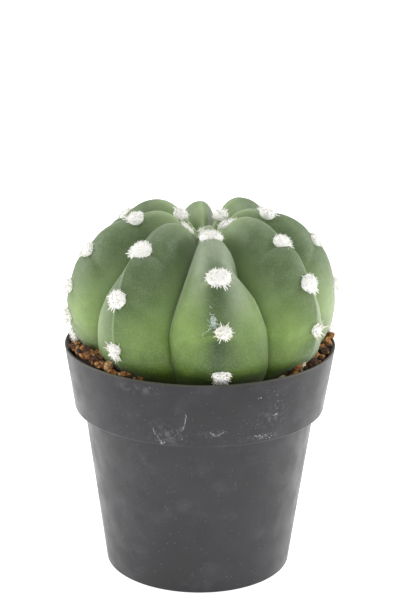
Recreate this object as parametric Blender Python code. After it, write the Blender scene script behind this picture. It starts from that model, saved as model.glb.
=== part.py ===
# A small eight-ribbed domino cactus in its round nursery pot.
# Metres, +Z up. The origin is the middle of the pot's base, on the surface it stands on.
# -Y is the front. A turn is counted in degrees from the front towards +X.

import math
import random

import bmesh
import bpy
from mathutils import Matrix, Vector, noise
from mathutils.bvhtree import BVHTree

MM = 0.001
SEED = 11
TOUCH_GAP = 0.3 * MM

# Pot
POT_HEIGHT = 55 * MM
RIM_RADIUS = 32 * MM
COLLAR_HEIGHT = 15.5 * MM
COLLAR_FOOT_RADIUS = 29.75 * MM
BODY_TOP_RADIUS = 27.5 * MM
BASE_RADIUS = 22.2 * MM
WALL = 1.1 * MM
FLOOR = 1.6 * MM
BASE_RECESS = 0.9 * MM
FOOT_RING_WIDTH = 3.4 * MM
EDGE_ROUND = 0.45 * MM
DRAIN_HOLES = 6
DRAIN_RADIUS = 2.6 * MM
DRAIN_CIRCLE = 12.5 * MM
DRAIN_SIDES = 12
LIP_STEPS = 4
EDGE_STEPS = 2
SIDES = 72

# Stem: the crest of a rib is a squared-off half ellipse above and below its widest level,
# sunk in the middle, and a furrow is a smaller one of the same kind. An angle along them
# is 0 at the crown, 90 at the widest level and 180 below.
STEM_CENTRE = Vector((0.7 * MM, -0.4 * MM))
RIB_TURNS = (8, 54.5, 100, 143, 184, 236, 278.5, 320.5)
FURROW_TURNS = (32.5, 78, 123, 165, 209, 257, 300, 343)
FURROW_LEANS = (-9, 0, 0, 0, 0, 0, 0, 7)
FURROW_FOOT_LEANS = (0, 0, 0, 0, 0, 0, 0, 3.5)
FURROW_LEAN_REACH = 75
FOOT_LEAN_ANGLES = (70, 105)
FRONT_RIB_LEAN = 2.5
FRONT_RIB_WAIST = 0.3
WAIST_ANGLE = 45.5
WAIST_SPREAD = 12
RIB_RISES = tuple(r * MM for r in (-1.0, 0.1, 0, 0.5, -1.0, 0.6, 0, -1.0))
RIB_REACHES = tuple(r * MM for r in (0, 0, 0.3, 0, 0, 0, 0.6, 0))
CREST_RADIUS = 31.1 * MM
CREST_LEVEL = POT_HEIGHT + 9.5 * MM
CREST_RISE = 23 * MM
CREST_DROP = 21 * MM
CREST_SQUARENESS = 2.2
FURROW_RADIUS = 27.0 * MM
FURROW_LEVEL = POT_HEIGHT + 3.5 * MM
FURROW_RISE = 18.3 * MM
FURROW_DROP = 13 * MM
FURROW_SQUARENESS = 2.3
CROWN_DIP = 6.5 * MM
CROWN_DIP_WIDTH = 8 * MM
FURROW_DIP_WIDTH = 3 * MM
CROWN_SHARPNESS = 2.6
SIDE_SHARPNESS = 1.3
CROWN_FULLNESS = 0.85
SIDE_FULLNESS = 0.6
CROWN_TO_SIDE = (25, 75)
FURROW_END = (138, 160)
UNDERSIDE_ANGLES = (136, 145, 155, 165)
ROOT_RADIUS = 6.5 * MM
ROOT_TAPER = 0.85
ROOT_TOP = 1.2 * MM
ROOT_LENGTH = 6 * MM
HALF_RIB_COLUMNS = 4
COLUMN_CROWDING = 0.12
ROW_STEP = 2.3 * MM
CREST_SAMPLES = 400

# Areoles: how far along the crest from the crown each rib's small first one and large second one sit,
# and the steps from there on, each of which is the last one times the shrink
CROWN_AREOLES = tuple(s * MM for s in (4.5, 7.9, 5, 7, 1.5, 7.5, 5, 7))
FIRST_AREOLES = tuple(s * MM for s in (16.1, 22.9, 15.5, 23.5, 22, 23.5, 17, 23.8))
AREOLE_STEPS = tuple(s * MM for s in (13.3, 11.1, 13.2, 12.4, 12.6, 12.4, 12.6, 12.8))
AREOLE_STEP_SHRINKS = (0.92, 0.97, 0.9, 0.92, 0.92, 0.92, 0.75, 0.92)
AREOLE_LOWEST = POT_HEIGHT - 0.6 * MM
CROWN_AREOLE_SIZE = 0.55
LOW_AREOLE_SIZE = 0.86
NOTCH_DEPTH = 1.3 * MM
LOW_NOTCH_DEPTH = 0.5 * MM
NOTCH_ROUNDNESS = 0.8
SCALLOPS_END = 55 * MM
CUSHION_SIZE = Vector((2.9, 2.3, 1.9)) * MM
CUSHION_SINK = 0.35 * MM
CUSHION_ROUGHNESS = 0.13
CUSHION_SIDES = 7
CUSHION_RINGS = 5
SPINES = 5
SPINE_LENGTH = 3.7 * MM
SPINE_RADIUS = 0.24 * MM
SPINE_SPREAD = 66
SPINE_LOWEST = POT_HEIGHT + 0.6 * MM

# Soil
SOIL_LEVEL = POT_HEIGHT - 1.6 * MM
SOIL_LUMPS = 0.35 * MM
SOIL_TILT = 0.5 * MM
SOIL_HIGH_TURN = 110
SOIL_HEAP = 1.3 * MM
SOIL_HEAP_SPREAD = 16
SOIL_LUMP_WIDTH = 2.2 * MM
HOLLOW_ANGLES = (122, 128, 136, 145, 155, 165)
STEM_GAP = 0.45 * MM
STEM_GAP_BELOW = 0.27 * MM
SURFACE_SHARES = (0.3, 0.62, 1)
CRUMBS = 120
CRUMB_SMALLEST = 0.55 * MM
CRUMB_LARGEST = 1.5 * MM
CRUMB_CLEARANCE = 0.3 * MM
CRUMB_REACH = 1.2
CRUMB_LIFT = 0.35


def clear_scene():
    for old in list(bpy.data.objects):
        bpy.data.objects.remove(old, do_unlink=True)


def new_material(name, colour, roughness):
    material = bpy.data.materials.new(name)
    material.use_nodes = True
    shader = material.node_tree.nodes["Principled BSDF"]
    shader.inputs["Base Color"].default_value = (*colour, 1)
    shader.inputs["Roughness"].default_value = roughness
    shader.inputs["Metallic"].default_value = 0
    return material


def new_object(name, bm, material=None, collection=None):
    mesh = bpy.data.meshes.new(name)
    bm.to_mesh(mesh)
    bm.free()
    piece = bpy.data.objects.new(name, mesh)
    (collection or bpy.context.scene.collection).objects.link(piece)
    if material:
        mesh.materials.append(material)
    return piece


def turn_point(turn, radius, height, centre=Vector((0, 0))):
    angle = math.radians(turn)
    return Vector((centre.x + radius * math.sin(angle), centre.y - radius * math.cos(angle), height))


def arc(centre_radius, centre_height, radius, start, end, steps):
    """Points of a rounded edge, with its angles counted from +R towards +Z."""
    points = []
    for k in range(steps + 1):
        angle = math.radians(start + (end - start) * k / steps)
        points.append((centre_radius + radius * math.cos(angle), centre_height + radius * math.sin(angle)))
    return points


def turned_solid(profile, sides):
    """Spins a profile of (radius, height) points that starts and ends on the axis."""
    bm = bmesh.new()
    verts = [bm.verts.new((radius, 0, height)) for radius, height in profile]
    edges = [bm.edges.new(pair) for pair in zip(verts, verts[1:])]
    bmesh.ops.spin(bm, geom=verts + edges, cent=(0, 0, 0), axis=(0, 0, 1), angle=math.tau, steps=sides)
    bmesh.ops.remove_doubles(bm, verts=bm.verts, dist=1e-6)
    bmesh.ops.recalc_face_normals(bm, faces=bm.faces)
    return bm


def ring_solid(rings, top, bottom):
    """Closes a stack of rings of equally many points, listed from the top down."""
    bm = bmesh.new()
    rows = [[bm.verts.new(point) for point in ring] for ring in rings]
    count = len(rows[0])
    for upper, lower in zip(rows, rows[1:]):
        for j in range(count):
            k = (j + 1) % count
            bm.faces.new((upper[j], lower[j], lower[k], upper[k]))
    for row, pole in ((rows[0], bm.verts.new(top)), (rows[-1], bm.verts.new(bottom))):
        for j in range(count):
            bm.faces.new((row[j], row[(j + 1) % count], pole))
    bmesh.ops.recalc_face_normals(bm, faces=bm.faces)
    return bm


def join_collection(piece, collection, operation):
    """One Boolean of a piece with a whole collection, applied, with the collection removed."""
    modifier = piece.modifiers.new("join", "BOOLEAN")
    modifier.operation = operation
    modifier.solver = "EXACT"
    modifier.operand_type = "COLLECTION"
    modifier.collection = collection
    evaluated = piece.evaluated_get(bpy.context.evaluated_depsgraph_get())
    mesh = bpy.data.meshes.new_from_object(evaluated)
    piece.modifiers.remove(modifier)
    old = piece.data
    piece.data = mesh
    bpy.data.meshes.remove(old)
    for used in list(collection.objects):
        bpy.data.objects.remove(used, do_unlink=True)
    bpy.data.collections.remove(collection)


def keep_main_body(piece):
    """Drops what a union left loose, so that the piece is one closed body."""
    bm = bmesh.new()
    bm.from_mesh(piece.data)
    bmesh.ops.triangulate(bm, faces=bm.faces)
    left = set(bm.verts)
    bodies = []
    while left:
        body = {left.pop()}
        edge_of_body = list(body)
        while edge_of_body:
            vert = edge_of_body.pop()
            for edge in vert.link_edges:
                other = edge.other_vert(vert)
                if other in left:
                    left.remove(other)
                    body.add(other)
                    edge_of_body.append(other)
        bodies.append(body)
    bodies.sort(key=len)
    for body in bodies[:-1]:
        bmesh.ops.delete(bm, geom=list(body), context="VERTS")
    bm.to_mesh(piece.data)
    bm.free()


def collar_inner_radius(height):
    """The collar's inner radius at a height above the pot's step."""
    share = (height - (POT_HEIGHT - COLLAR_HEIGHT)) / COLLAR_HEIGHT
    return COLLAR_FOOT_RADIUS + (RIM_RADIUS - COLLAR_FOOT_RADIUS) * share - WALL


def pot_inside(inset):
    """The pot's inner wall from its floor up to the rim, moved inwards by an inset."""
    step = POT_HEIGHT - COLLAR_HEIGHT
    floor = BASE_RECESS + FLOOR
    return [
        (BASE_RADIUS - WALL - inset, floor + inset),
        (BODY_TOP_RADIUS - WALL - inset, step + inset),
        (COLLAR_FOOT_RADIUS - WALL - inset, step + WALL + inset),
    ]


def make_pot():
    step = POT_HEIGHT - COLLAR_HEIGHT
    lip = WALL / 2
    foot_inner = BASE_RADIUS - FOOT_RING_WIDTH
    profile = [(0, BASE_RECESS + FLOOR)]
    profile += pot_inside(0)
    profile += arc(RIM_RADIUS - lip, POT_HEIGHT - lip, lip, 180, 0, LIP_STEPS)
    profile += arc(COLLAR_FOOT_RADIUS - EDGE_ROUND, step + EDGE_ROUND, EDGE_ROUND, 0, -90, EDGE_STEPS)
    profile += [(BODY_TOP_RADIUS, step)]
    profile += arc(BASE_RADIUS - EDGE_ROUND, EDGE_ROUND, EDGE_ROUND, 0, -90, EDGE_STEPS)
    profile += [(foot_inner, 0), (foot_inner - BASE_RECESS, BASE_RECESS), (0, BASE_RECESS)]
    material = new_material("charcoal_plastic", (0.075, 0.073, 0.075), 0.42)
    pot = new_object("pot", turned_solid(profile, SIDES), material)
    cutters = bpy.data.collections.new("drain_cutters")
    bpy.context.scene.collection.children.link(cutters)
    for k in range(DRAIN_HOLES):
        bm = bmesh.new()
        place = Matrix.Translation(turn_point(360 * k / DRAIN_HOLES, DRAIN_CIRCLE, BASE_RECESS + FLOOR / 2))
        bmesh.ops.create_cone(bm, cap_ends=True, segments=DRAIN_SIDES, radius1=DRAIN_RADIUS,
                              radius2=DRAIN_RADIUS, depth=3 * FLOOR, matrix=place)
        new_object(f"drain_cutter_{k}", bm, collection=cutters)
    join_collection(pot, cutters, "DIFFERENCE")
    keep_main_body(pot)
    return pot


def squared_ellipse(angle, radius, level, rise, drop, squareness):
    """Radius and height of a point of the curve at an angle."""
    across = abs(math.sin(math.radians(angle))) ** (2 / squareness)
    cosine = math.cos(math.radians(angle))
    up = abs(cosine) ** (2 / squareness)
    return radius * across, level + (rise if cosine > 0 else -drop) * up


def crest_point(angle):
    radius, height = squared_ellipse(angle, CREST_RADIUS, CREST_LEVEL, CREST_RISE, CREST_DROP, CREST_SQUARENESS)
    return radius, height - CROWN_DIP * math.exp(-((radius / CROWN_DIP_WIDTH) ** 2))


def furrow_point(angle):
    radius, height = squared_ellipse(angle, FURROW_RADIUS, FURROW_LEVEL, FURROW_RISE, FURROW_DROP,
                                     FURROW_SQUARENESS)
    crown = CREST_LEVEL + CREST_RISE - CROWN_DIP - FURROW_LEVEL - FURROW_RISE
    return radius, height + crown * math.exp(-((radius / FURROW_DIP_WIDTH) ** 2))


def crest_distances():
    """The way along the crest from the crown, sampled evenly in its angle."""
    distances = [0.0]
    last = crest_point(0)
    for k in range(1, CREST_SAMPLES + 1):
        here = crest_point(180 * k / CREST_SAMPLES)
        distances.append(distances[-1] + math.dist(last, here))
        last = here
    return distances


CREST_WAY = crest_distances()


def angle_at(way):
    """The crest's angle at a distance from the crown."""
    k = 1
    while CREST_WAY[k] < way:
        k += 1
    part = (way - CREST_WAY[k - 1]) / (CREST_WAY[k] - CREST_WAY[k - 1])
    return 180 * (k - 1 + part) / CREST_SAMPLES


def way_at(angle):
    place = angle / 180 * CREST_SAMPLES
    k = min(int(place), CREST_SAMPLES - 1)
    return CREST_WAY[k] + (CREST_WAY[k + 1] - CREST_WAY[k]) * (place - k)


def blend(low, high, value):
    x = min(max((value - low) / (high - low), 0), 1)
    return x * x * (3 - 2 * x)


def areole_ways(rib):
    """Distances from the crown of all areoles of one rib, down to the soil."""
    ways = [CROWN_AREOLES[rib]]
    way = FIRST_AREOLES[rib]
    step = AREOLE_STEPS[rib]
    while crest_point(angle_at(way))[1] > AREOLE_LOWEST:
        ways.append(way)
        way += step
        step *= AREOLE_STEP_SHRINKS[rib]
    return ways


def scallop(rib, way):
    """How far the crest stands out at a distance from the crown: nothing at an areole, most midway."""
    if way > SCALLOPS_END:
        return 0
    start = FIRST_AREOLES[rib]
    step = CROWN_AREOLES[rib] - start if way < start else AREOLE_STEPS[rib]
    while step > 0 and way > start + step:
        start += step
        step *= AREOLE_STEP_SHRINKS[rib]
    fade = blend(2 * MM, 9 * MM, way) * (1 - blend(SCALLOPS_END - 5 * MM, SCALLOPS_END, way))
    depth = NOTCH_DEPTH + (LOW_NOTCH_DEPTH - NOTCH_DEPTH) * blend(24 * MM, 38 * MM, way)
    return fade * depth * abs(math.sin(math.pi * (way - start) / step)) ** NOTCH_ROUNDNESS


def crest_turn(rib, angle):
    lean = FRONT_RIB_LEAN if rib == 0 else 0
    return RIB_TURNS[rib] - lean * (1 - blend(30, 75, angle))


def furrow_turn(furrow, angle):
    """A furrow runs straight down, but the front rib's two lean towards its narrow top and foot."""
    upper = FURROW_LEANS[furrow] * max(1 - angle / FURROW_LEAN_REACH, 0)
    foot = FURROW_FOOT_LEANS[furrow] * blend(*FOOT_LEAN_ANGLES, angle)
    return FURROW_TURNS[furrow] + upper + foot


def rib_profile(rib, side, across, angle):
    """Share of the rib's height at a place across it, 0 on the crest and 1 in the furrow."""
    low = blend(*CROWN_TO_SIDE, angle)
    sharpness = CROWN_SHARPNESS + (SIDE_SHARPNESS - CROWN_SHARPNESS) * low
    fullness = CROWN_FULLNESS + (SIDE_FULLNESS - CROWN_FULLNESS) * low
    if rib == 0 and side > 0:
        across /= 1 - FRONT_RIB_WAIST * math.exp(-(((angle - WAIST_ANGLE) / WAIST_SPREAD) ** 2))
    share = max(1 - across ** sharpness, 0) ** fullness
    return 1 - (1 - share) * (1 - blend(*FURROW_END, angle))


def across_steps():
    """Places across half a rib, closer together at the crest and in the furrow."""
    places = [k / HALF_RIB_COLUMNS for k in range(HALF_RIB_COLUMNS + 1)]
    return [place - COLUMN_CROWDING * math.sin(math.tau * place) for place in places]


def stem_point(rib, side, across, angle):
    """A point of the stem's skin; side is -1 or 1 for the flank towards the lower or higher turn."""
    crest = crest_turn(rib, angle)
    furrow = furrow_turn(rib if side > 0 else rib - 1, angle)
    if rib == 0 and side < 0:
        furrow -= 360
    high = Vector(crest_point(angle))
    low = Vector(furrow_point(angle))
    ahead = Vector(crest_point(min(angle + 1, 180)))
    slope = (ahead - high).normalized()
    outwards = Vector((-slope.y, slope.x))
    if outwards.dot(high - Vector((0, FURROW_LEVEL))) < 0:
        outwards = -outwards
    share = rib_profile(rib, side, across, angle)
    spot = low.lerp(high, share) + outwards * (scallop(rib, way_at(angle)) * share * share)
    spot.x += RIB_REACHES[rib] * share * blend(30, 65, angle) * (1 - blend(80, 105, angle))
    spot.y += RIB_RISES[rib] * share * blend(0, 12, angle) * (1 - blend(30, 65, angle))
    turn = crest + (furrow - crest) * across
    return turn_point(turn, spot.x, spot.y, STEM_CENTRE)


def stem_ring(angle):
    """One row of the skin: each rib from its furrow up to the crest, and down to just before the next."""
    ring = []
    steps = across_steps()
    for rib in range(len(RIB_TURNS)):
        ring += [stem_point(rib, -1, step, angle) for step in steps[:0:-1]]
        ring += [stem_point(rib, 1, step, angle) for step in steps[:-1]]
    return ring


def make_stem_mesh():
    way = ROW_STEP
    angles = []
    while angle_at(way + ROW_STEP) < UNDERSIDE_ANGLES[0]:
        angles.append(angle_at(way))
        way += ROW_STEP
    angles += UNDERSIDE_ANGLES
    rings = [stem_ring(angle) for angle in angles]
    underside = crest_point(UNDERSIDE_ANGLES[-1])[1]
    for radius, depth in ((ROOT_RADIUS, ROOT_TOP), (ROOT_RADIUS * ROOT_TAPER, ROOT_LENGTH)):
        ring = []
        for point in rings[-1]:
            flat = Vector(point.xy) - STEM_CENTRE
            flat = STEM_CENTRE + flat.normalized() * radius
            ring.append(Vector((flat.x, flat.y, underside - depth)))
        rings.append(ring)
    top = Vector((*STEM_CENTRE, crest_point(0)[1]))
    bottom = Vector((*STEM_CENTRE, underside - ROOT_LENGTH))
    return ring_solid(rings, top, bottom)


def areole_frame(rib, way):
    """Place and axes of an areole: across the rib, up along the crest, and out of it."""
    angle = angle_at(way)
    here = stem_point(rib, 1, 0, angle)
    ahead = stem_point(rib, 1, 0, angle + 2)
    along = (stem_point(rib, 1, 0, angle - 2) - ahead).normalized()
    turn = math.radians(crest_turn(rib, angle))
    across = Vector((math.cos(turn), math.sin(turn), 0))
    out = across.cross(along).normalized()
    if out.dot(here - Vector((*STEM_CENTRE, CREST_LEVEL - CREST_DROP))) < 0:
        out = -out
    return here, across, along, out


def add_cushion(frame, size, rng, collection):
    here, across, along, out = frame
    bm = bmesh.new()
    bmesh.ops.create_uvsphere(bm, u_segments=CUSHION_SIDES, v_segments=CUSHION_RINGS, radius=1)
    for vert in bm.verts:
        scale = 1 + rng.uniform(-CUSHION_ROUGHNESS, CUSHION_ROUGHNESS)
        spot = vert.co * scale
        spot = across * spot.x * size.x + along * spot.y * size.y + out * spot.z * size.z
        vert.co = here + spot - out * CUSHION_SINK
    new_object("cushion", bm, collection=collection)


def add_spine(frame, k, size, rng, collection):
    here, across, along, out = frame
    around = math.tau * (k + rng.uniform(-0.25, 0.25)) / SPINES
    tilt = math.radians(SPINE_SPREAD + rng.uniform(-12, 6))
    way = (across * math.cos(around) + along * math.sin(around)) * math.sin(tilt) + out * math.cos(tilt)
    length = SPINE_LENGTH * size * rng.uniform(0.9, 1.1)
    root = here - out * CUSHION_SINK * 0.5
    if root.z + way.z * length < SPINE_LOWEST:
        way.z = (SPINE_LOWEST - root.z) / length
        way.normalize()
    bm = bmesh.new()
    place = Matrix.Translation(root + way * length / 2) @ way.to_track_quat("Z", "Y").to_matrix().to_4x4()
    bmesh.ops.create_cone(bm, cap_ends=True, segments=3, radius1=SPINE_RADIUS, radius2=0,
                          depth=length, matrix=place)
    new_object("spine", bm, collection=collection)


def make_cactus():
    material = new_material("green_skin", (0.16, 0.27, 0.09), 0.5)
    cactus = new_object("cactus", make_stem_mesh(), material)
    tufts = bpy.data.collections.new("areoles")
    bpy.context.scene.collection.children.link(tufts)
    rng = random.Random(SEED)
    for rib in range(len(RIB_TURNS)):
        for way in areole_ways(rib):
            size = CROWN_AREOLE_SIZE + (1 - CROWN_AREOLE_SIZE) * blend(5 * MM, 14 * MM, way)
            size += (LOW_AREOLE_SIZE - 1) * blend(36 * MM, 46 * MM, way)
            frame = areole_frame(rib, way)
            add_cushion(frame, CUSHION_SIZE * size, rng, tufts)
            for k in range(SPINES):
                add_spine(frame, k, size, rng, tufts)
    join_collection(cactus, tufts, "UNION")
    keep_main_body(cactus)
    return cactus


def soil_height(turn, radius):
    """The soil's top, higher on one side and lumpy all over."""
    spot = turn_point(turn, radius, 0)
    lumps = noise.noise(spot / SOIL_LUMP_WIDTH) + 0.6 * noise.noise(2 * spot / SOIL_LUMP_WIDTH)
    tilt = math.cos(math.radians(turn - SOIL_HIGH_TURN))
    heap = math.exp(-(((turn - SOIL_HIGH_TURN) / SOIL_HEAP_SPREAD) ** 2))
    return SOIL_LEVEL + tilt * SOIL_TILT + heap * SOIL_HEAP + lumps * SOIL_LUMPS


def hollow_rings():
    """The plain round hole in the soil that the stem's underside and its root stand in."""
    rings = []
    for angle in HOLLOW_ANGLES:
        radius, height = crest_point(angle)
        rings.append((radius + STEM_GAP, height - STEM_GAP_BELOW))
    underside = rings[-1][1]
    rings.append((ROOT_RADIUS + 2 * STEM_GAP, underside - ROOT_TOP))
    rings.append((ROOT_RADIUS + STEM_GAP, underside - ROOT_LENGTH - STEM_GAP))
    return rings


def make_soil_mesh():
    turns = [360 * k / SIDES for k in range(SIDES)]
    floor, step, ledge = pot_inside(TOUCH_GAP)
    rings = []
    hollow = hollow_rings()
    for radius, height in reversed(hollow):
        rings.append([turn_point(turn, radius, height, STEM_CENTRE) for turn in turns])
    mouth, mouth_height = hollow[0]
    for share in SURFACE_SHARES:
        ring = []
        for turn in turns:
            inner = turn_point(turn, mouth, 0, STEM_CENTRE)
            outer = turn_point(turn, collar_inner_radius(SOIL_LEVEL) - TOUCH_GAP, 0)
            spot = inner.lerp(outer, share)
            rise = soil_height(turn, spot.length) - mouth_height
            spot.z = mouth_height + rise * blend(0, 0.7, share)
            ring.append(spot)
        rings.append(ring)
    for radius, height in (ledge, step, floor):
        rings.append([turn_point(turn, radius, height) for turn in turns])
    top = Vector((*STEM_CENTRE, hollow[-1][1]))
    return ring_solid(rings, top, Vector((0, 0, floor[1])))


def crumb_mesh(centre, size, rng):
    bm = bmesh.new()
    bmesh.ops.create_icosphere(bm, subdivisions=1, radius=1)
    stretch = Vector([rng.uniform(0.7, 1.1) for _ in range(3)]) * size
    turn = Matrix.Rotation(rng.uniform(0, math.tau), 3, (rng.random(), rng.random(), 1))
    for vert in bm.verts:
        spot = vert.co * rng.uniform(0.82, 1.1)
        vert.co = centre + turn @ Vector((spot.x * stretch.x, spot.y * stretch.y, spot.z * stretch.z))
    return bm


def make_soil(cactus):
    material = new_material("potting_mix", (0.10, 0.045, 0.02), 0.9)
    soil = new_object("soil", make_soil_mesh(), material)
    crumbs = bpy.data.collections.new("crumbs")
    bpy.context.scene.collection.children.link(crumbs)
    skin = BVHTree.FromPolygons([v.co for v in cactus.data.vertices], [p.vertices for p in cactus.data.polygons])
    rng = random.Random(SEED + 1)
    placed = 0
    while placed < CRUMBS:
        turn = rng.uniform(0, 360)
        size = rng.uniform(CRUMB_SMALLEST, CRUMB_LARGEST)
        radius = rng.uniform(CREST_RADIUS * 0.8, RIM_RADIUS)
        centre = turn_point(turn, radius, 0)
        centre.z = soil_height(turn, radius) + size * CRUMB_LIFT
        reach = size * CRUMB_REACH + CRUMB_CLEARANCE
        nearest = skin.find_nearest(centre)[3]
        if nearest < reach or radius + reach > collar_inner_radius(centre.z - size):
            continue
        new_object("crumb", crumb_mesh(centre, size, rng), collection=crumbs)
        placed += 1
    join_collection(soil, crumbs, "UNION")
    keep_main_body(soil)
    return soil


def smooth_shading(piece, angle):
    piece.data.shade_smooth()
    piece.data.set_sharp_from_angle(angle=math.radians(angle))


def main():
    clear_scene()
    pot = make_pot()
    cactus = make_cactus()
    soil = make_soil(cactus)
    smooth_shading(pot, 35)
    smooth_shading(cactus, 50)
    smooth_shading(soil, 40)


main()
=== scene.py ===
import math
import random

import bmesh
import bpy
from mathutils import Matrix, Vector, noise
from mathutils.bvhtree import BVHTree


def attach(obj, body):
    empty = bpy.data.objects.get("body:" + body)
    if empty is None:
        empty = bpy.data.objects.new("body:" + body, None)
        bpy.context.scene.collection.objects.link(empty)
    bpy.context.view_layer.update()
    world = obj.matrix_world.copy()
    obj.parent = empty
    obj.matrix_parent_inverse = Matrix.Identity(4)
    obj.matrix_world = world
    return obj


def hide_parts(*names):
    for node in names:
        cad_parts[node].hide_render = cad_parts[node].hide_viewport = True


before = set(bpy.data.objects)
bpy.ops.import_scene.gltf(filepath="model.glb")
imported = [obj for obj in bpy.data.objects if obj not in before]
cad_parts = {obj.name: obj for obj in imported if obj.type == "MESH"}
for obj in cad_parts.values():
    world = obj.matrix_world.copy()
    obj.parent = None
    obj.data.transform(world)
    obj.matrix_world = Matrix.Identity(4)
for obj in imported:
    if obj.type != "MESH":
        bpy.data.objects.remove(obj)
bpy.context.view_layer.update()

# A small eight-ribbed domino cactus in its nursery pot. Metres, +Z up, and -Y is the front.
# A turn is counted in degrees from the front towards +X. An angle along the stem's outline
# is 0 at the crown, 90 at the widest level and 180 below. A way is a length along a rib's
# crest from the crown. A pair of them says where a change begins and where it is complete.
MM = 0.001
SEED = 5

# Camera, as measured on the picture
IMAGE_LONG_SIDE = 601
FOCAL_PIXELS = 1687
CAMERA_DISTANCE = 0.400
CAMERA_RISE = math.radians(18.12)
CAMERA_PITCH = math.radians(16.77)
CAMERA_ROLL = math.radians(0.65)
SENSOR_WIDTH = 36

# Light: how much a level face gets, where 1 makes a white one just white on the screen, the share
# of the room, and the place, width and power of each lamp
STAGE_LIGHT = 1.1
ROOM_LIGHT = 0.25
LAMP_TARGET = (0, 0, 0.06)
LAMPS = {
    "left_box": ((-0.7, 0.1, 0.35), 0.6, 3.5),
    "right_box": ((0.7, 0.1, 0.35), 0.6, 3.5),
    "top_box": ((0, 0.25, 0.9), 0.8, 4.4),
    "front_box": ((0, -0.9, 0.45), 0.7, 1.5),
}
FLOOR_REACH = 4
FLOOR_GLOW = 0.8

# Pot
POT_HEIGHT = 55 * MM
RIM_RADIUS = 32 * MM
COLLAR_HEIGHT = 15.5 * MM
COLLAR_FOOT_RADIUS = 29.75 * MM
BODY_TOP_RADIUS = 27.5 * MM
BASE_RADIUS = 22.2 * MM
WALL = 1.1 * MM
RIM_WALL = 0.6 * MM
THINNING = 3 * MM
POT_FLOOR = 1.6 * MM
BASE_RECESS = 0.9 * MM
FOOT_RING_WIDTH = 3.4 * MM
INSIDE_ROUNDING = 0.8 * MM
EDGE_ROUNDING = 0.45 * MM
STEP_ROUNDING = 0.25 * MM
SHARP_EDGE = math.radians(32)
TURNED_SIZES = {"Sides": 192, "Points": 10}
DRAIN_CIRCLE = 12.5 * MM
DRAIN_SIZES = {
    "Holes": 6,
    "Hole Radius": 2.6 * MM,
    "Hole Circle": DRAIN_CIRCLE,
    "Drill Length": 12 * POT_FLOOR,
}

# Stem. A row of eight values is for the ribs in the order of their turns, the front one first,
# or for the furrow after each. Before and after are the two sides of a crest.
STEM_CENTRE = Vector((0.7 * MM, -0.4 * MM, 0))
RIB_TURNS = (8, 54.5, 100, 143, 184, 236, 278.5, 320.5)
FURROW_TURNS = (32.5, 78, 123, 165, 209, 257, 300, 343)
STEM_SIZES = {
    "Rows": 160,
    "Root Rows": 6,
    "Half Rib Columns": 14,
    "Column Crowding": 0.12,
    "Crest Radius": 31.1 * MM,
    "Crest Level": POT_HEIGHT + 9.5 * MM,
    "Crest Rise": 23 * MM,
    "Crest Drop": 21 * MM,
    "Crest Squareness": 2.2,
    "Furrow Radius": 27 * MM,
    "Furrow Level": POT_HEIGHT + 3.5 * MM,
    "Furrow Rise": 18.3 * MM,
    "Furrow Drop": 13 * MM,
    "Furrow Squareness": 2.3,
    "Crown Dip": 6.5 * MM,
    "Crown Dip Width": 8 * MM,
    "Furrow Dip Width": 3 * MM,
    "Underside Angle": 165.0,
    "Root Radius": 6.5 * MM,
    "Root Length": 6 * MM,
    "Notch Depth": 1.5 * MM,
    "Low Notch Depth": 0.5 * MM,
    "Relief": 0.09 * MM,
}
JOIN_DISTANCE = 0.004 * MM
CREST_WIDTH = 1e-4
CREST_END_ANGLE = 150

# How far a furrow leans over near the crown and at its foot, and the front crest near the crown
FURROW_LEANS = (-9, 0, 0, 0, 0, 0, 0, 7)
FURROW_LEAN_REACH = 75
FURROW_FOOT_LEANS = (0, 0, 0, 0, 0, 0, 0, 3.5)
FURROW_FOOT_ANGLES = (70, 105)
FRONT_RIB_LEAN = 2.5
FRONT_LEAN_ANGLES = (30, 75)

# A rib's section, and how much less sharp and full it is on the side than by the crown
SIDE_ANGLES = (25, 75)
SHARPNESS, SHARPNESS_LOSS, LEAST_SHARPNESS = 2.6, 1.3, 1.02
FULLNESS, FULLNESS_LOSS, KEEN_FULLNESS = 0.85, 0.25, 0.6
RIBS_END = (138, 160)

# Shoulders where a flank is drawn in to a waist, and stretches where a crest is keener
WAISTS_BEFORE = (0, 0, 0.1, 0.1, 0, 0.15, 0.15, 0.34)
WAISTS_AFTER = (0.3, 0.3, 0.15, 0.1, 0.1, 0, 0, 0)
WAIST_ANGLE = 45.5
WAIST_SPREADS = (7.5, 12, 12, 12, 12, 12, 12, 12)
KEEN_BEFORE = (0, 0, 0, 0, 0, 0, 0, 0.5)
KEEN_AFTER = (0, 0.5, 0, 0, 0, 0, 0, 0)
KEEN_ANGLES = (0, 66, 0, 0, 0, 0, 0, 48)
KEEN_SPREADS = (20, 34, 20, 20, 20, 20, 20, 15)

# How much higher a rib's top is, and how much further out its side
RIB_RISES = tuple(r * MM for r in (-1.0, 0.1, 0, 0.5, -1.0, 0.6, 0, -1.0))
RIB_REACHES = tuple(r * MM for r in (0, 0, 0.3, 0, 0, 0, 0.6, 0))
RISE_ANGLES = (0, 12)
SHOULDER_ANGLES = (30, 65)
REACH_END = (80, 105)

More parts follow.
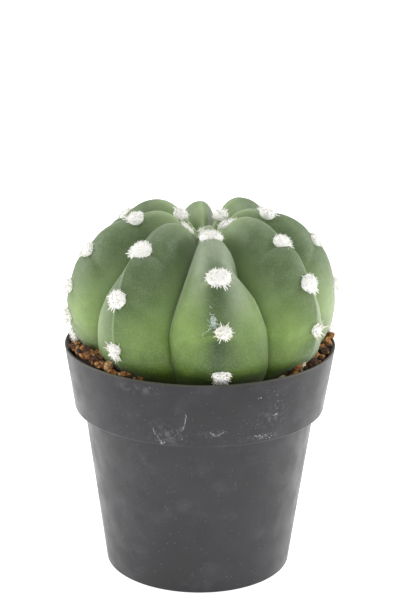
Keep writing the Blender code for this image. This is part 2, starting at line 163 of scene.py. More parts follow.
# Areoles: the way to the one by the crown and to the first below it, the step to the next, and
# what each further step is to the one before. The crest is notched at each.
CROWN_AREOLES = tuple(s * MM for s in (4.5, 7.9, 5, 7, 1.5, 7.5, 5, 7))
FIRST_AREOLES = tuple(s * MM for s in (16.1, 22.9, 15.5, 23.5, 22, 23.5, 17, 23.8))
AREOLE_STEPS = tuple(s * MM for s in (13.3, 11.1, 13.2, 12.4, 12.6, 12.4, 12.6, 12.8))
AREOLE_STEP_SHRINKS = (0.92, 0.97, 0.9, 0.92, 0.92, 0.92, 0.75, 0.92)
AREOLE_LOWEST = POT_HEIGHT + 0.5 * MM
NOTCHES_BEGIN = (2 * MM, 9 * MM)
NOTCHES_END = (50 * MM, 55 * MM)
LOW_NOTCHES = (24 * MM, 38 * MM)
NOTCH_KEENNESS = 0.6

# The size of an areole at the crown, and its changes: the way where each begins, its stretch and amount
CROWN_AREOLE_SIZE = 0.6
AREOLE_AGEING = (36 * MM, 5 * MM)
AREOLE_WEDGING = (43 * MM, 4 * MM)
AREOLE_CHANGES = ((4 * MM, 9 * MM, 0.41), (*AREOLE_AGEING, -0.35), (45 * MM, 5 * MM, 0.24))
AREOLE_LUCK = (0.94, 1.06)

# Wool and spines. The cushions of a rib differ in width, and the first ones of two ribs are fuller.
CUSHION_SIZE = Vector((2.75, 2.1, 1.25)) * MM
CUSHION_WIDTHS = (0.95, 0.93, 1, 1, 1, 1, 1, 0.86)
FIRST_CUSHION_FLUFFS = (1, 1.1, 1, 1, 1, 1, 1, 1.25)
TIP_SHARE = 0.15
WOOL_SIZES = {
    "Width": CUSHION_SIZE.x,
    "Length": CUSHION_SIZE.y,
    "Height": CUSHION_SIZE.z,
    "Wedge Widening": -0.75,
    "Wedge Rise": -0.5,
    "Lumps": 0.32 * MM,
    "Hairs per Square Metre": 6.5e6,
    "Hair Length": 0.62 * MM,
    "Hair Radius": 0.05 * MM,
    "Locks per Square Metre": 2e6,
    "Lock Length": 0.68 * MM,
    "Lock Radius": 0.17 * MM,
    "Drips": 9,
    "Drip Length": 3.1 * MM,
    "Drip Radius": 0.42 * MM,
    "Drip Tilt": math.radians(80),
    "Seed": SEED,
}
SPINE_SIZES = {
    "Spines": 12,
    "Spine Length": 2.9 * MM,
    "Spine Radius": 0.34 * MM,
    "Spread": math.radians(68),
}

# Soil: the level of its top over the rim at each turn, in mm, a mound and lumps on it, and its bed
SOIL_LEVELS = ((0, -3.6), (36, -3.4), (46, -1.5), (55, -0.4), (80, -0.2), (92, 0.5), (105, 0.4),
               (130, -0.8), (200, -1.2), (262, -1.5), (272, -1.2), (283, 0.7), (295, 0.9), (306, 0.6),
               (317, -0.1), (326, -2.0), (336, -3.3), (360, -3.6))
MOUND_TURN = 309
MOUND_SPREAD = 20
MOUND_RISE = 1.9
MOUND_OUTER_RADIUS = 31 * MM
MOUND_FLANK = 4.5 * MM
LUMP_WIDTH = 2.2 * MM
LUMP_RISE = 0.35
SOIL_BED = POT_HEIGHT - 2.4 * MM
BED_SIDES = 144
BED_RINGS = 14
BED_GAP = 0.1 * MM
BED_CORNER = MM
BED_UNDER_CRUMBS = 0.8 * MM
STEM_HOLE_RADIUS = 12 * MM
STEM_HOLE_DEPTH = 12 * MM
STEM_HOLE_TIP = 18 * MM

# Crumbs and fibres. A crumb's room to the wall and to the stem is a share of its size.
CRUMBS = 1500
CRUMB_TRIES = 60000
CRUMB_INNER_RADIUS = 23 * MM
CRUMB_LUMPS = {"Roundness": 0.7, "Roughness": 0.65}
CRUMB_SIZES = tuple(s * MM for s in (0.4, 0.55, 0.75, 1.0, 1.3))
CRUMB_WALL_ROOM = 0.85
CRUMB_STEM_ROOM = 0.55
BED_TONE = 0.1
FIBRE_TONE = 0.3
FIBRES = 70
FIBRE_POINTS = 6
FIBRE_STEP = 0.9 * MM
FIBRE_THICKNESS = 0.16 * MM
FIBRE_ROOM = 0.2 * MM

# Chunks of bark and perlite that stand out: turn, radius, height over the rim, half width, half height
# and tone, the lengths in mm
CHUNKS = ((91, 31.0, 1.4, 1.2, 1.0, 0.7), (85, 29.9, 0.7, 1.2, 1.2, 0.85), (76, 29.6, 0.3, 1.1, 1.1, 0.75),
          (65, 29.2, 0.3, 1.3, 1.5, 0.85), (57.3, 28.8, 0.0, 1.0, 1.0, 0.5), (52.1, 29.6, 0.0, 0.9, 1.4, 1.0),
          (49.3, 29.0, 0.0, 1.1, 1.1, 0.8), (280, 27.6, 1.2, 1.2, 1.0, 0.8),
          (286.7, 29.6, 1.3, 1.2, 0.9, 0.88), (291.3, 26.8, 1.6, 1.0, 0.9, 0.75),
          (298.7, 29.4, 1.0, 1.1, 0.9, 0.1), (304.2, 27.4, 1.4, 1.1, 1.0, 0.7),
          (311.8, 29.6, 0.6, 1.0, 0.8, 0.85), (315.5, 28.8, 0.4, 1.0, 0.9, 0.9),
          (323.7, 28.8, -0.4, 0.7, 0.6, 1.0))

# Dust on the collar, by turn and by mm under the rim: strands, and patches of grains with their half
# widths, count and grain size in mm
COLLAR_STRANDS = (((-5.4, 7.3), (-5.6, 8.6), (-6.3, 10.4), (-7.6, 11.4)),
                  ((-19.6, 11.2), (-19.4, 12.2), (-17.5, 13.6), (-15.8, 14.7)),
                  ((4.6, 11.6), (6.2, 12.3), (7.6, 12.7), (9.2, 12.0), (11.5, 11.4)))
COLLAR_DUST = ((33.5, 8.8, 1.5, 0.3, 6, 0.2), (35.2, 5.5, 2.5, 2.0, 8, 0.12), (25.3, 4.0, 0.6, 0.1, 3, 0.16),
               (30, 14.0, 5, 0.7, 45, 0.09), (26.5, 13.6, 2, 0.3, 18, 0.12), (-15.8, 14.8, 1, 0.3, 12, 0.15),
               (-11, 12.5, 4, 1.2, 16, 0.08), (-23, 1.3, 4, 0.5, 30, 0.11), (31, 2.2, 3, 1.0, 14, 0.1),
               (20, 11, 6, 2, 22, 0.07), (0, 8, 180, 7, 260, 0.055))
COLLAR_DUST_TOP = 0.7
COLLAR_DUST_FOOT = 15
GRAINS_PER_STRETCH = 9
STRAND_LIFT = 0.03 * MM
STRAND_THICKNESS = 0.09 * MM

# Smudges on the collar: turn, and mm under the rim, half width and half height
SMUDGES = ((-26, 2.2, 4.5, 0.9), (-14, 12.5, 4.5, 2.5), (5.5, 12.3, 2.2, 1.0), (27, 14.2, 4.5, 0.8),
           (33, 9.5, 3.0, 2.2))

# Lint on the front rib, by turn and by mm over the rim: one long strand and the middle of a tuft
LINT_PATH = ((3.9, 15.6), (4.4, 14.4), (3.6, 13.2), (2.2, 12.4), (0.6, 11.9), (-0.4, 11.2), (0.3, 10.6))
LINT_TUFT = (4.0, 14.3)
LINT_STRANDS = 46
LINT_POINTS = 5
LINT_LIFT = 0.1 * MM
LINT_THICKNESS = 0.07 * MM

# Mottled colours: two as they look on the screen, from 0 to 255, and how fine their patches are
GREEN = ((114, 145, 62), (131, 160, 78), 260)
DEEP_GREEN = ((68, 95, 12), (82, 111, 20), 300)
GREY_GREEN = ((86, 109, 66), (100, 122, 80), 340)
# A pale bloom that is partly a painted reflection of the light from above
BLOOM_AND_SHEEN = ((142, 158, 127), (156, 170, 142), 340)
HORN = ((252, 250, 242), (238, 228, 200), 700)
DUSK = ((255, 255, 255), (150, 130, 112), 1400)
CHARCOAL = ((36, 34, 37), (42, 40, 44), 60)
DUST = ((178, 178, 184), (138, 137, 142), 1500)
LINT = ((240, 247, 242), (200, 219, 208), 1800)
PALE_FLOOR = ((250, 250, 250), (248, 248, 248), 3)
SOIL_TONES = ((0, (54, 38, 26)), (0.3, (92, 62, 38)), (0.5, (158, 106, 56)), (0.75, (212, 148, 80)),
              (0.93, (222, 170, 108)), (0.96, (244, 230, 196)))

# Where the skin's colours and its painted light and shade change, by height over the rim and by way
SKIN_DRIFT = 3 * MM
DEEP_LEVELS = (11 * MM, 1 * MM)
GREY_LEVELS = (-5 * MM, 12 * MM)
SIDE_GREY_LEVEL = 8 * MM
SIDE_GREY_RISE = 6 * MM
FRONT_GREY_LEVEL = 16 * MM
FRONT_GREY_RISE = MM
FRONT_GREY_DROP = 5 * MM
FRONT_SHADE_LEVELS = (15 * MM, 6 * MM)
CREST_SHADE_LEVELS = (16 * MM, 8 * MM)
CREST_SHADE_WAYS = (23 * MM, 31 * MM)
YOUNG_WAYS = (17 * MM, 9 * MM)
PAINTED_FURROW_LIGHT_WAYS = (42 * MM, 26 * MM)
RIM_HIGHLIGHT_LEVELS = (POT_HEIGHT - 0.45 * MM, POT_HEIGHT - 0.15 * MM)


def math_methods(operation):
    """An operator's two methods, with the wire as its first and as its second value."""
    return (lambda wire, other: wire.plan.math(operation, wire, other),
            lambda wire, other: wire.plan.math(operation, other, wire))


class Wire:
    """A node's output, which can be added, multiplied and so on."""

    def __init__(self, plan, socket):
        self.plan = plan
        self.socket = socket

    def __abs__(self):
        return self.plan.math("ABSOLUTE", self)

    __add__, __radd__ = math_methods("ADD")
    __sub__, __rsub__ = math_methods("SUBTRACT")
    __mul__, __rmul__ = math_methods("MULTIPLY")
    __truediv__, __rtruediv__ = math_methods("DIVIDE")
    __pow__, __rpow__ = math_methods("POWER")


class Plan:
    """Writes nodes into one tree. An input is a number, a vector, a name, a material or a wire."""

    def __init__(self, tree):
        self.tree = tree

    def node(self, kind, inputs=None, **settings):
        node = self.tree.nodes.new(kind)
        for key, value in settings.items():
            setattr(node, key, value)
        for key, value in (inputs or {}).items():
            if value is not None:
                self.feed(node.inputs[key], value)
        return node

    def feed(self, socket, value):
        if isinstance(value, Wire):
            self.tree.links.new(value.socket, socket)
        else:
            socket.default_value = value

    def make(self, kind, inputs=None, output=0, **settings):
        """The wire of a new node's output."""
        return Wire(self, self.node(kind, inputs, **settings).outputs[output])

    def math(self, operation, *values):
        return self.make("ShaderNodeMath", dict(enumerate(values)), operation=operation)

    def vector(self, operation, *values, output=0):
        return self.make("ShaderNodeVectorMath", dict(enumerate(values)), output, operation=operation)

    def scaled(self, vector, factor):
        return self.make("ShaderNodeVectorMath", {0: vector, "Scale": factor}, operation="SCALE")

    def combine(self, x, y, z):
        return self.make("ShaderNodeCombineXYZ", {0: x, 1: y, 2: z})

    def separate(self, vector):
        node = self.node("ShaderNodeSeparateXYZ", {0: vector})
        return [Wire(self, socket) for socket in node.outputs]

    def ease(self, low, high, value, start=0.0, end=1.0):
        """Goes smoothly from start to end while the value goes from low to high."""
        inputs = {"Value": value, "From Min": low, "From Max": high, "To Min": start, "To Max": end}
        return self.make("ShaderNodeMapRange", inputs, interpolation_type="SMOOTHSTEP")

    def fade(self, low, high, value):
        return self.ease(low, high, value, 1.0, 0.0)

    def bell(self, value):
        return self.math("EXPONENT", value * value * -1)

    def noise(self, scale, detail=2.0, place=None, output="Fac"):
        inputs = {"Scale": scale, "Detail": detail, "Vector": place}
        return self.make("ShaderNodeTexNoise", inputs, output)

    def mix(self, factor, first, second, blend="MIX"):
        """A mix of two colours."""
        inputs = {0: factor, 6: first, 7: second}
        return self.make("ShaderNodeMix", inputs, 2, data_type="RGBA", blend_type=blend)

    def place(self):
        """Where a point of a surface is on the object, for a finish."""
        return self.make("ShaderNodeTexCoord", output="Object")

    def position(self):
        """Where a point is, for a shape."""
        return self.make("GeometryNodeInputPosition")

    def value(self, name, kind="FLOAT"):
        """A named value of the geometry."""
        return self.make("GeometryNodeInputNamedAttribute", {"Name": name}, data_type=kind)

    def direction(self, name):
        return self.value(name, "FLOAT_VECTOR")

    def keep(self, geometry, name, value, kind="FLOAT"):
        inputs = {"Geometry": geometry, "Name": name, "Value": value}
        return self.make("GeometryNodeStoreNamedAttribute", inputs, data_type=kind, domain="POINT")

    def sample(self, geometry, value, index, kind="FLOAT"):
        inputs = {"Geometry": geometry, "Value": value, "Index": index}
        return self.make("GeometryNodeSampleIndex", inputs, data_type=kind, domain="POINT")

    def random(self, low, high, seed):
        inputs = {2: low, 3: high, "Seed": seed}
        return self.make("FunctionNodeRandomValue", inputs, 1, data_type="FLOAT")

    def copies(self, points, shape, turn=None, scale=None):
        """A shape on each point, as real geometry."""
        inputs = {"Points": points, "Instance": shape, "Rotation": turn, "Scale": scale}
        copies = self.make("GeometryNodeInstanceOnPoints", inputs)
        return self.make("GeometryNodeRealizeInstances", {"Geometry": copies})

    def join(self, *parts):
        node = self.node("GeometryNodeJoinGeometry")
        for part in parts:
            self.tree.links.new(part.socket, node.inputs[0])
        return Wire(self, node.outputs[0])

    def moved(self, geometry, position=None, offset=None):
        inputs = {"Geometry": geometry, "Position": position, "Offset": offset}
        return self.make("GeometryNodeSetPosition", inputs)

    def smooth(self, geometry):
        return self.make("GeometryNodeSetShadeSmooth", {"Geometry": geometry})


def new_tree(kind, name, inputs, outputs):
    """A node tree whose named inputs each have a default number or a type: its plan, the wires of
    its inputs and its output node."""
    tree = bpy.data.node_groups.new(name, kind)
    for label, default in inputs.items():
        socket_type = {int: "Int", float: "Float"}.get(type(default), default)
        socket = tree.interface.new_socket(label, in_out="INPUT", socket_type="NodeSocket" + socket_type)
        if socket_type != default:
            socket.default_value = default
    for label, socket_type in outputs.items():
        tree.interface.new_socket(label, in_out="OUTPUT", socket_type="NodeSocket" + socket_type)
    plan = Plan(tree)
    start = plan.node("NodeGroupInput")
    given = {label: Wire(plan, start.outputs[label]) for label in inputs}
    return plan, given, plan.node("NodeGroupOutput")


def shape_tree(name, sizes, build):
    """A geometry tree that takes a base shape, sizes and a material, and gives the shape that is built."""
    inputs = {"Base": "Geometry", **sizes, "Material": "Material"}
    plan, given, end = new_tree("GeometryNodeTree", name, inputs, {"Shape": "Geometry"})
    inputs = {"Geometry": build(plan, given), "Material": given["Material"]}
    plan.feed(end.inputs[0], plan.make("GeometryNodeSetMaterial", inputs))
    return plan.tree


def grown(name, base, tree, **values):
    """A plain mesh piece that a tree makes from a base mesh."""
    piece = bpy.data.objects.new(name, base)
    bpy.context.scene.collection.objects.link(piece)
    modifier = piece.modifiers.new("grow", "NODES")
    modifier.node_group = tree
    for item in tree.interface.items_tree:
        if item.in_out == "INPUT" and item.name in values:
            modifier[item.identifier] = values[item.name]
    depsgraph = bpy.context.evaluated_depsgraph_get()
    mesh = bpy.data.meshes.new_from_object(piece.evaluated_get(depsgraph), preserve_all_data_layers=True,
                                           depsgraph=depsgraph)
    piece.modifiers.remove(modifier)
    piece.data = mesh
    mesh.name = name
    settle(mesh)
    return piece


def settle(mesh):
    """Merges doubles and turns all faces outwards."""
    bm = bmesh.new()
    bm.from_mesh(mesh)
    bmesh.ops.remove_doubles(bm, verts=bm.verts, dist=1e-7)
    bmesh.ops.recalc_face_normals(bm, faces=bm.faces)
    bm.to_mesh(mesh)
    bm.free()


def dressed(piece, slot, *nodes):
    """Rides a piece on the one body and hides the nodes that it stands for. The slot is not used."""
    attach(piece, "root")
    if nodes:
        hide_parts(*nodes)
    return piece


def name_values(mesh, label, column):
    """Gives each point of a mesh its number or vector, under a name."""
    kind, field = ("FLOAT_VECTOR", "vector") if isinstance(column[0], Vector) else ("FLOAT", "value")
    layer = mesh.attributes.new(label, kind, "POINT")
    for item, value in zip(layer.data, column):
        setattr(item, field, value)


def points_mesh(name, places, **values):
    """Loose points with named values, for a tree to build on."""
    mesh = bpy.data.meshes.new(name)
    mesh.from_pydata([tuple(place) for place in places], [], [])
    for label, column in values.items():
        name_values(mesh, label, column)
    return mesh


def turn_point(turn, radius, height, centre=Vector((0, 0, 0))):
    angle = math.radians(turn)
    return Vector((centre.x + radius * math.sin(angle), centre.y - radius * math.cos(angle), height))


def passed(value, begin, stretch):
    """How much of a stretch a value has passed, from 0 to 1."""
    return min(max((value - begin) / stretch, 0), 1)


def tint(red, green, blue):
    """A finish's colour from how it looks on the screen in the stage's light, from 0 to 255."""
    parts = [part / 255 for part in (red, green, blue)]
    parts = [part / 12.92 if part < 0.04045 else ((part + 0.055) / 1.055) ** 2.4 for part in parts]
    return (*[part / STAGE_LIGHT for part in parts], 1)


# Effects that several finishes share

def shared_effect(name, inputs, output, output_type, build):
    """A shader group that is built once."""
    plan, given, end = new_tree("ShaderNodeTree", name, inputs, {output: output_type})
    plan.feed(end.inputs[output], build(plan, given))
    return plan.tree


def build_mottle(plan, given):
    cloud = plan.noise(given["Scale"], 3, plan.place())
    share = plan.ease(0.5 - given["Softness"], 0.5 + given["Softness"], cloud)
    return plan.mix(share, given["Colour"], given["Other Colour"])


def build_speckle(plan, given):
    inputs = {"Vector": plan.place(), "Scale": given["Scale"]}
    far = plan.make("ShaderNodeTexVoronoi", inputs, "Distance")
    return plan.ease(given["Size"], given["Size"] * 0.3, far) * given["Strength"]


def build_grain(plan, given):
    return plan.noise(given["Scale"], 4, plan.place()) * given["Depth"]


MOTTLE = shared_effect(
    "mottle", {"Colour": "Color", "Other Colour": "Color", "Scale": 100.0, "Softness": 0.2},
    "Colour", "Color", build_mottle)
SPECKLE = shared_effect(
    "speckle", {"Scale": 1000.0, "Size": 0.4, "Strength": 1.0}, "Mask", "Float", build_speckle)
GRAIN = shared_effect("grain", {"Scale": 1000.0, "Depth": 1.0}, "Height", "Float", build_grain)


def effect(plan, tree, **inputs):
    """Places a shared effect in a finish with its own values."""
    node = plan.node("ShaderNodeGroup", node_tree=tree)
    for key, value in inputs.items():
        plan.feed(node.inputs[key.replace("_", " ")], value)
    return Wire(plan, node.outputs[0])


def mottled(plan, look):
    first, second, scale = look
    return effect(plan, MOTTLE, Colour=tint(*first), Other_Colour=tint(*second), Scale=scale)


def bumped(plan, height, distance):
    return plan.make("ShaderNodeBump", {"Height": height, "Distance": distance, "Strength": 1.0}, "Normal")


def grainy(plan, scale, depth):
    """The normals of a finely grained surface."""
    return bumped(plan, effect(plan, GRAIN, Scale=scale), depth)


def surface_value(plan, name):
    return plan.make("ShaderNodeAttribute", output="Fac", attribute_name=name)


def new_finish(name, build, **constants):
    """A material whose changing inputs come from build, and whose plain ones are set on the shader."""
    material = bpy.data.materials.new(name)
    material.use_nodes = True
    plan = Plan(material.node_tree)
    shader = material.node_tree.nodes["Principled BSDF"]
    for key, value in constants.items():
        shader.inputs[key.replace("_", " ")].default_value = value
    for key, wire in build(plan).items():
        plan.feed(shader.inputs[key], wire)
    return material


def plain_finish(name, look, **constants):
    """A material with a mottled colour and nothing else that changes."""
    return new_finish(name, lambda plan: {"Base Color": mottled(plan, look)}, **constants)


def coated(plan, colour, coats):
    """A colour under coats of others, each with the mask that it shows by."""
    for mask, coat in coats:
        colour = plan.mix(mask, colour, coat)
    return colour


def build_skin(plan):
    place = plan.place()
    across, between, rib, side, way = [surface_value(plan, name)
                                       for name in ("across", "between", "rib", "side", "way")]
    right = plan.math("GREATER_THAN", side, 0)
    drift = plan.noise(120, 3, place) - 0.5
    above_rim = plan.separate(place)[2] - POT_HEIGHT + drift * SKIN_DRIFT

    def on_rib(number):
        return plan.math("COMPARE", rib, number, 0.5)

    # Green below and grey above, with a pale bloom on the front rib that is partly a painted reflection of
    # the light from above
    front = on_rib(0)
    # The deep green low down is partly the skin's own colour and partly painted shade near the soil and the
    # rim
    low = plan.ease(*DEEP_LEVELS, above_rim)
    side_level = SIDE_GREY_LEVEL + across * SIDE_GREY_RISE
    front_level = FRONT_GREY_LEVEL + across * FRONT_GREY_RISE
    front_level = front_level - right * plan.ease(0.8, 0.1, across) * FRONT_GREY_DROP
    high = plan.ease(*GREY_LEVELS, above_rim - side_level - (front_level - side_level) * front)
    bloom_and_sheen = front * plan.ease(0.85, 0.35, across)
    grey = plan.mix(bloom_and_sheen, mottled(plan, GREY_GREEN), mottled(plan, BLOOM_AND_SHEEN))
    grey = plan.mix(plan.ease(*YOUNG_WAYS, way) * 0.7, grey, tint(160, 182, 130))
    green = plan.mix(high, mottled(plan, GREEN), grey)

    # Painted shade: a dark stripe down the crest from each areole towards the next, strongest just under it
    under = plan.ease(0.02, 0.2, between) * plan.ease(1.1, 0.3, between, 0.65, 1.0)
    under = under * plan.ease(*CREST_SHADE_WAYS, way, 0.3, 1.0)
    spread = front + (1 - front) * (1 - high) * 0.6
    crest_shade = plan.bell((across * side + 0.08) / (0.23 + low * 0.12) + drift * 0.7) * under * spread
    crest_shade_colour = plan.mix(plan.ease(*CREST_SHADE_LEVELS, above_rim), tint(66, 91, 48), tint(40, 67, 24))

    shaded = front * (0.12 + right * (0.13 + plan.ease(*FRONT_SHADE_LEVELS, above_rim) * 0.28))
    # Painted rim light: the ribs at the right and left outlines are paled below the grey top, as if lit from
    # behind by the white room
    pale = (on_rib(2) * 0.24 + on_rib(6) * 0.07) * (1 - high)
    # Painted highlight: a faint pale line along the crests of all ribs but the front one
    crest_line = plan.ease(0.035, 0.01, across + drift * 0.02) * (1 - front)
    # Painted light: the flanks next to the furrows are lightened near the crown, against the shade in the
    # furrows
    slope = plan.ease(0.62, 0.95, across) * plan.ease(*PAINTED_FURROW_LIGHT_WAYS, way)
    # Painted shade: a thin dark line in the bottom of each furrow
    crease_shade = plan.ease(0.98, 1.0, across)
    flecks = plan.ease(0.5, 0.72, plan.noise(2200, 3, place))
    dots = effect(plan, SPECKLE, Scale=2600, Size=0.4, Strength=0.11)
    return {
        "Base Color": coated(plan, green, (
            (shaded + on_rib(7) * 0.22, tint(60, 84, 44)),
            (low, mottled(plan, DEEP_GREEN)),
            (pale, tint(205, 212, 190)),
            (crest_shade * 0.95, crest_shade_colour),
            (crest_line * 0.2, tint(190, 206, 158)),
            (slope * 0.55, tint(146, 170, 118)),
            (crease_shade * 0.5, tint(50, 64, 32)),
            (flecks * 0.07, tint(196, 214, 150)),
            (dots, tint(206, 216, 178)))),
        "Roughness": plan.ease(0.3, 0.7, plan.noise(900, 2, place), 0.46, 0.6),
        "Normal": bumped(plan, effect(plan, GRAIN, Scale=2400) - dots * 0.5, 0.05 * MM),
    }


def build_wool(plan):
    """Nearly as white as a finish can be, so its colours are given as they are."""
    wool = effect(plan, MOTTLE, Colour=(0.99, 0.985, 0.95, 1), Other_Colour=(0.95, 0.94, 0.88, 1), Scale=900)
    return {"Base Color": wool, "Normal": grainy(plan, 5000, 0.08 * MM)}


def build_soil(plan):
    ramp = plan.node("ShaderNodeValToRGB", {"Fac": surface_value(plan, "tone")})
    stops = ramp.color_ramp.elements
    for k, (position, colour) in enumerate(SOIL_TONES):
        stop = stops[k] if k < 2 else stops.new(position)
        stop.position = position
        stop.color = tint(*colour)
    crumb = Wire(plan, ramp.outputs["Color"])
    return {
        "Base Color": plan.mix(1.0, crumb, mottled(plan, DUSK), "MULTIPLY"),
        "Normal": grainy(plan, 2600, 0.25 * MM),
    }


def smudges(plan, place):
    """Where the collar is smudged."""
    total = 0
    for turn, below, half_width, half_height in SMUDGES:
        offset = plan.vector("SUBTRACT", place, collar_point(turn, below))
        reach = (1 / (half_width * MM), 1 / (half_width * MM), 1 / (half_height * MM))
        far = plan.vector("LENGTH", plan.vector("MULTIPLY", offset, reach), output="Value")
        total = total + plan.bell(far)
    return total * plan.ease(0.42, 0.7, plan.noise(800, 6, place))


def build_plastic(plan):
    place = plan.place()
    film = plan.ease(0.5, 0.8, plan.noise(160, 5, place))
    # Painted highlight: a thin light olive line along the top of the rim's lip
    edge = plan.ease(*RIM_HIGHLIGHT_LEVELS, plan.separate(place)[2])
    return {
        "Base Color": coated(plan, mottled(plan, CHARCOAL), (
            (film * 0.05, tint(170, 170, 178)),
            (smudges(plan, place) * 0.2, tint(165, 166, 176)),
            (effect(plan, SPECKLE, Scale=900, Size=0.12, Strength=0.35), tint(170, 168, 172)),
            (edge * 0.3, tint(112, 112, 84)))),
        "Roughness": plan.ease(0.3, 0.7, plan.noise(220, 4, place), 0.36, 0.5),
        "Normal": grainy(plan, 1200, 0.02 * MM),
    }


# The stem

def squared_ellipse(plan, angle, given, part):
    """Wires for the radius and height at an angle of the crest's or the furrow's outline."""
    bend = angle * (math.pi / 180)
    power = 2 / given[part + " Squareness"]
    across = abs(plan.math("SINE", bend)) ** power
    cosine = plan.math("COSINE", bend)
    above = plan.math("GREATER_THAN", cosine, 0)
    reach = above * (given[part + " Rise"] + given[part + " Drop"]) - given[part + " Drop"]
    return given[part + " Radius"] * across, given[part + " Level"] + reach * abs(cosine) ** power


def crest_outline(plan, angle, given):
    radius, height = squared_ellipse(plan, angle, given, "Crest")
    return radius, height - given["Crown Dip"] * plan.bell(radius / given["Crown Dip Width"])


def furrow_outline(plan, angle, given):
    radius, height = squared_ellipse(plan, angle, given, "Furrow")
    top = given["Crest Level"] + given["Crest Rise"] - given["Crown Dip"]
    crown = top - given["Furrow Level"] - given["Furrow Rise"]
    return radius, height + crown * plan.bell(radius / given["Furrow Dip Width"])


def areole_phase(plan, way):
    """How far a place on the crest is from one areole to the next, as 0 to 1."""
    first = plan.value("first_areole")
    shrink = plan.value("areole_shrink")
    step = plan.value("areole_step")
    beyond = plan.math("MAXIMUM", way - first, 0)
    count = plan.math("LOGARITHM", 1 - beyond * (1 - shrink) / step, shrink)
    count = plan.math("FLOOR", count + 1e-4)
    size = shrink ** count
    lower = (beyond - step * (1 - size) / (1 - shrink)) / (step * size)
    upper = (first - way) / (first - plan.value("crown_areole"))
    above = plan.math("LESS_THAN", way, first)
    return upper * above + lower * (1 - above)


def rib_grids(plan, given):
    """A flat grid for each rib, whose points know where on the rib they belong."""
    index = plan.make("GeometryNodeInputIndex")
    line = plan.make("GeometryNodeMeshLine", {"Count": given["Rows"] + 1})
    radius, height = crest_outline(plan, index * given["Underside Angle"] / given["Rows"], given)
    line = plan.moved(line, plan.combine(radius, 0, height))
    outline = plan.make("GeometryNodeMeshToCurve", {"Mesh": line})
    length = plan.make("GeometryNodeSplineParameter", output="Length")

    sizes = {"Size X": 2, "Size Y": 1, "Vertices X": given["Half Rib Columns"] * 2 + 1,
             "Vertices Y": given["Rows"] + given["Root Rows"] + 1}
    ribs = plan.copies(given["Base"], plan.make("GeometryNodeMeshGrid", sizes))
    column, row, _ = plan.separate(plan.position())
    row = plan.math("ROUND", (row + 0.5) * (given["Rows"] + given["Root Rows"]))
    skin_row = plan.math("MINIMUM", row, given["Rows"])
    way = plan.sample(outline, length, skin_row)
    values = {
        "across": abs(column) - given["Column Crowding"] * plan.math("SINE", abs(column) * math.tau),
        "way": way,
        "angle": skin_row * given["Underside Angle"] / given["Rows"],
        "side": plan.math("SIGN", column),
        "between": areole_phase(plan, way),
        "root": (row - given["Rows"]) / given["Root Rows"],
    }
    for name, value in values.items():
        ribs = plan.keep(ribs, name, value)
    return ribs


def on_side(plan, name):
    """A rib's named value on this side of its crest."""
    before = plan.value(name + "_before")
    after = plan.math("GREATER_THAN", plan.value("side"), 0)
    return before + (plan.value(name + "_after") - before) * after


def flank_share(plan, across, angle):
    """How far a flank stands out from the furrow's outline to the crest's, from 0 to 1."""
    low = plan.ease(*SIDE_ANGLES, angle)
    keen = on_side(plan, "keen") * plan.bell((angle - plan.value("keen_angle")) / plan.value("keen_spread"))
    sharpness = plan.math("MAXIMUM", (SHARPNESS - SHARPNESS_LOSS * low) * (1 - keen), LEAST_SHARPNESS)
    fullness = FULLNESS - FULLNESS_LOSS * low + KEEN_FULLNESS * keen
    waist = 1 - on_side(plan, "waist") * plan.bell((angle - WAIST_ANGLE) / plan.value("waist_spread"))
    share = plan.math("MAXIMUM", 1 - (across / waist) ** sharpness, 0) ** fullness
    return 1 - (1 - share) * plan.fade(*RIBS_END, angle)


def crest_hump(plan, given):
    """How far the crest swells out between two areoles."""
    way = plan.value("way")
    fade = plan.ease(*NOTCHES_BEGIN, way) * plan.fade(*NOTCHES_END, way)
    change = (given["Low Notch Depth"] - given["Notch Depth"]) * plan.ease(*LOW_NOTCHES, way)
    depth = given["Notch Depth"] + change
    return fade * depth * abs(plan.math("SINE", plan.value("between") * math.pi)) ** NOTCH_KEENNESS


def flank_turn(plan, across, angle):
    """The turn of a place on a flank, on its way from the crest's turn to the furrow's."""
    upper = plan.math("MAXIMUM", 1 - angle / FURROW_LEAN_REACH, 0)
    foot = on_side(plan, "foot") * plan.ease(*FURROW_FOOT_ANGLES, angle)
    furrow = on_side(plan, "furrow") + on_side(plan, "lean") * upper + foot
    crest = plan.value("crest_turn") - plan.value("lean") * plan.fade(*FRONT_LEAN_ANGLES, angle)
    return (crest + (furrow - crest) * across) * (math.pi / 180)


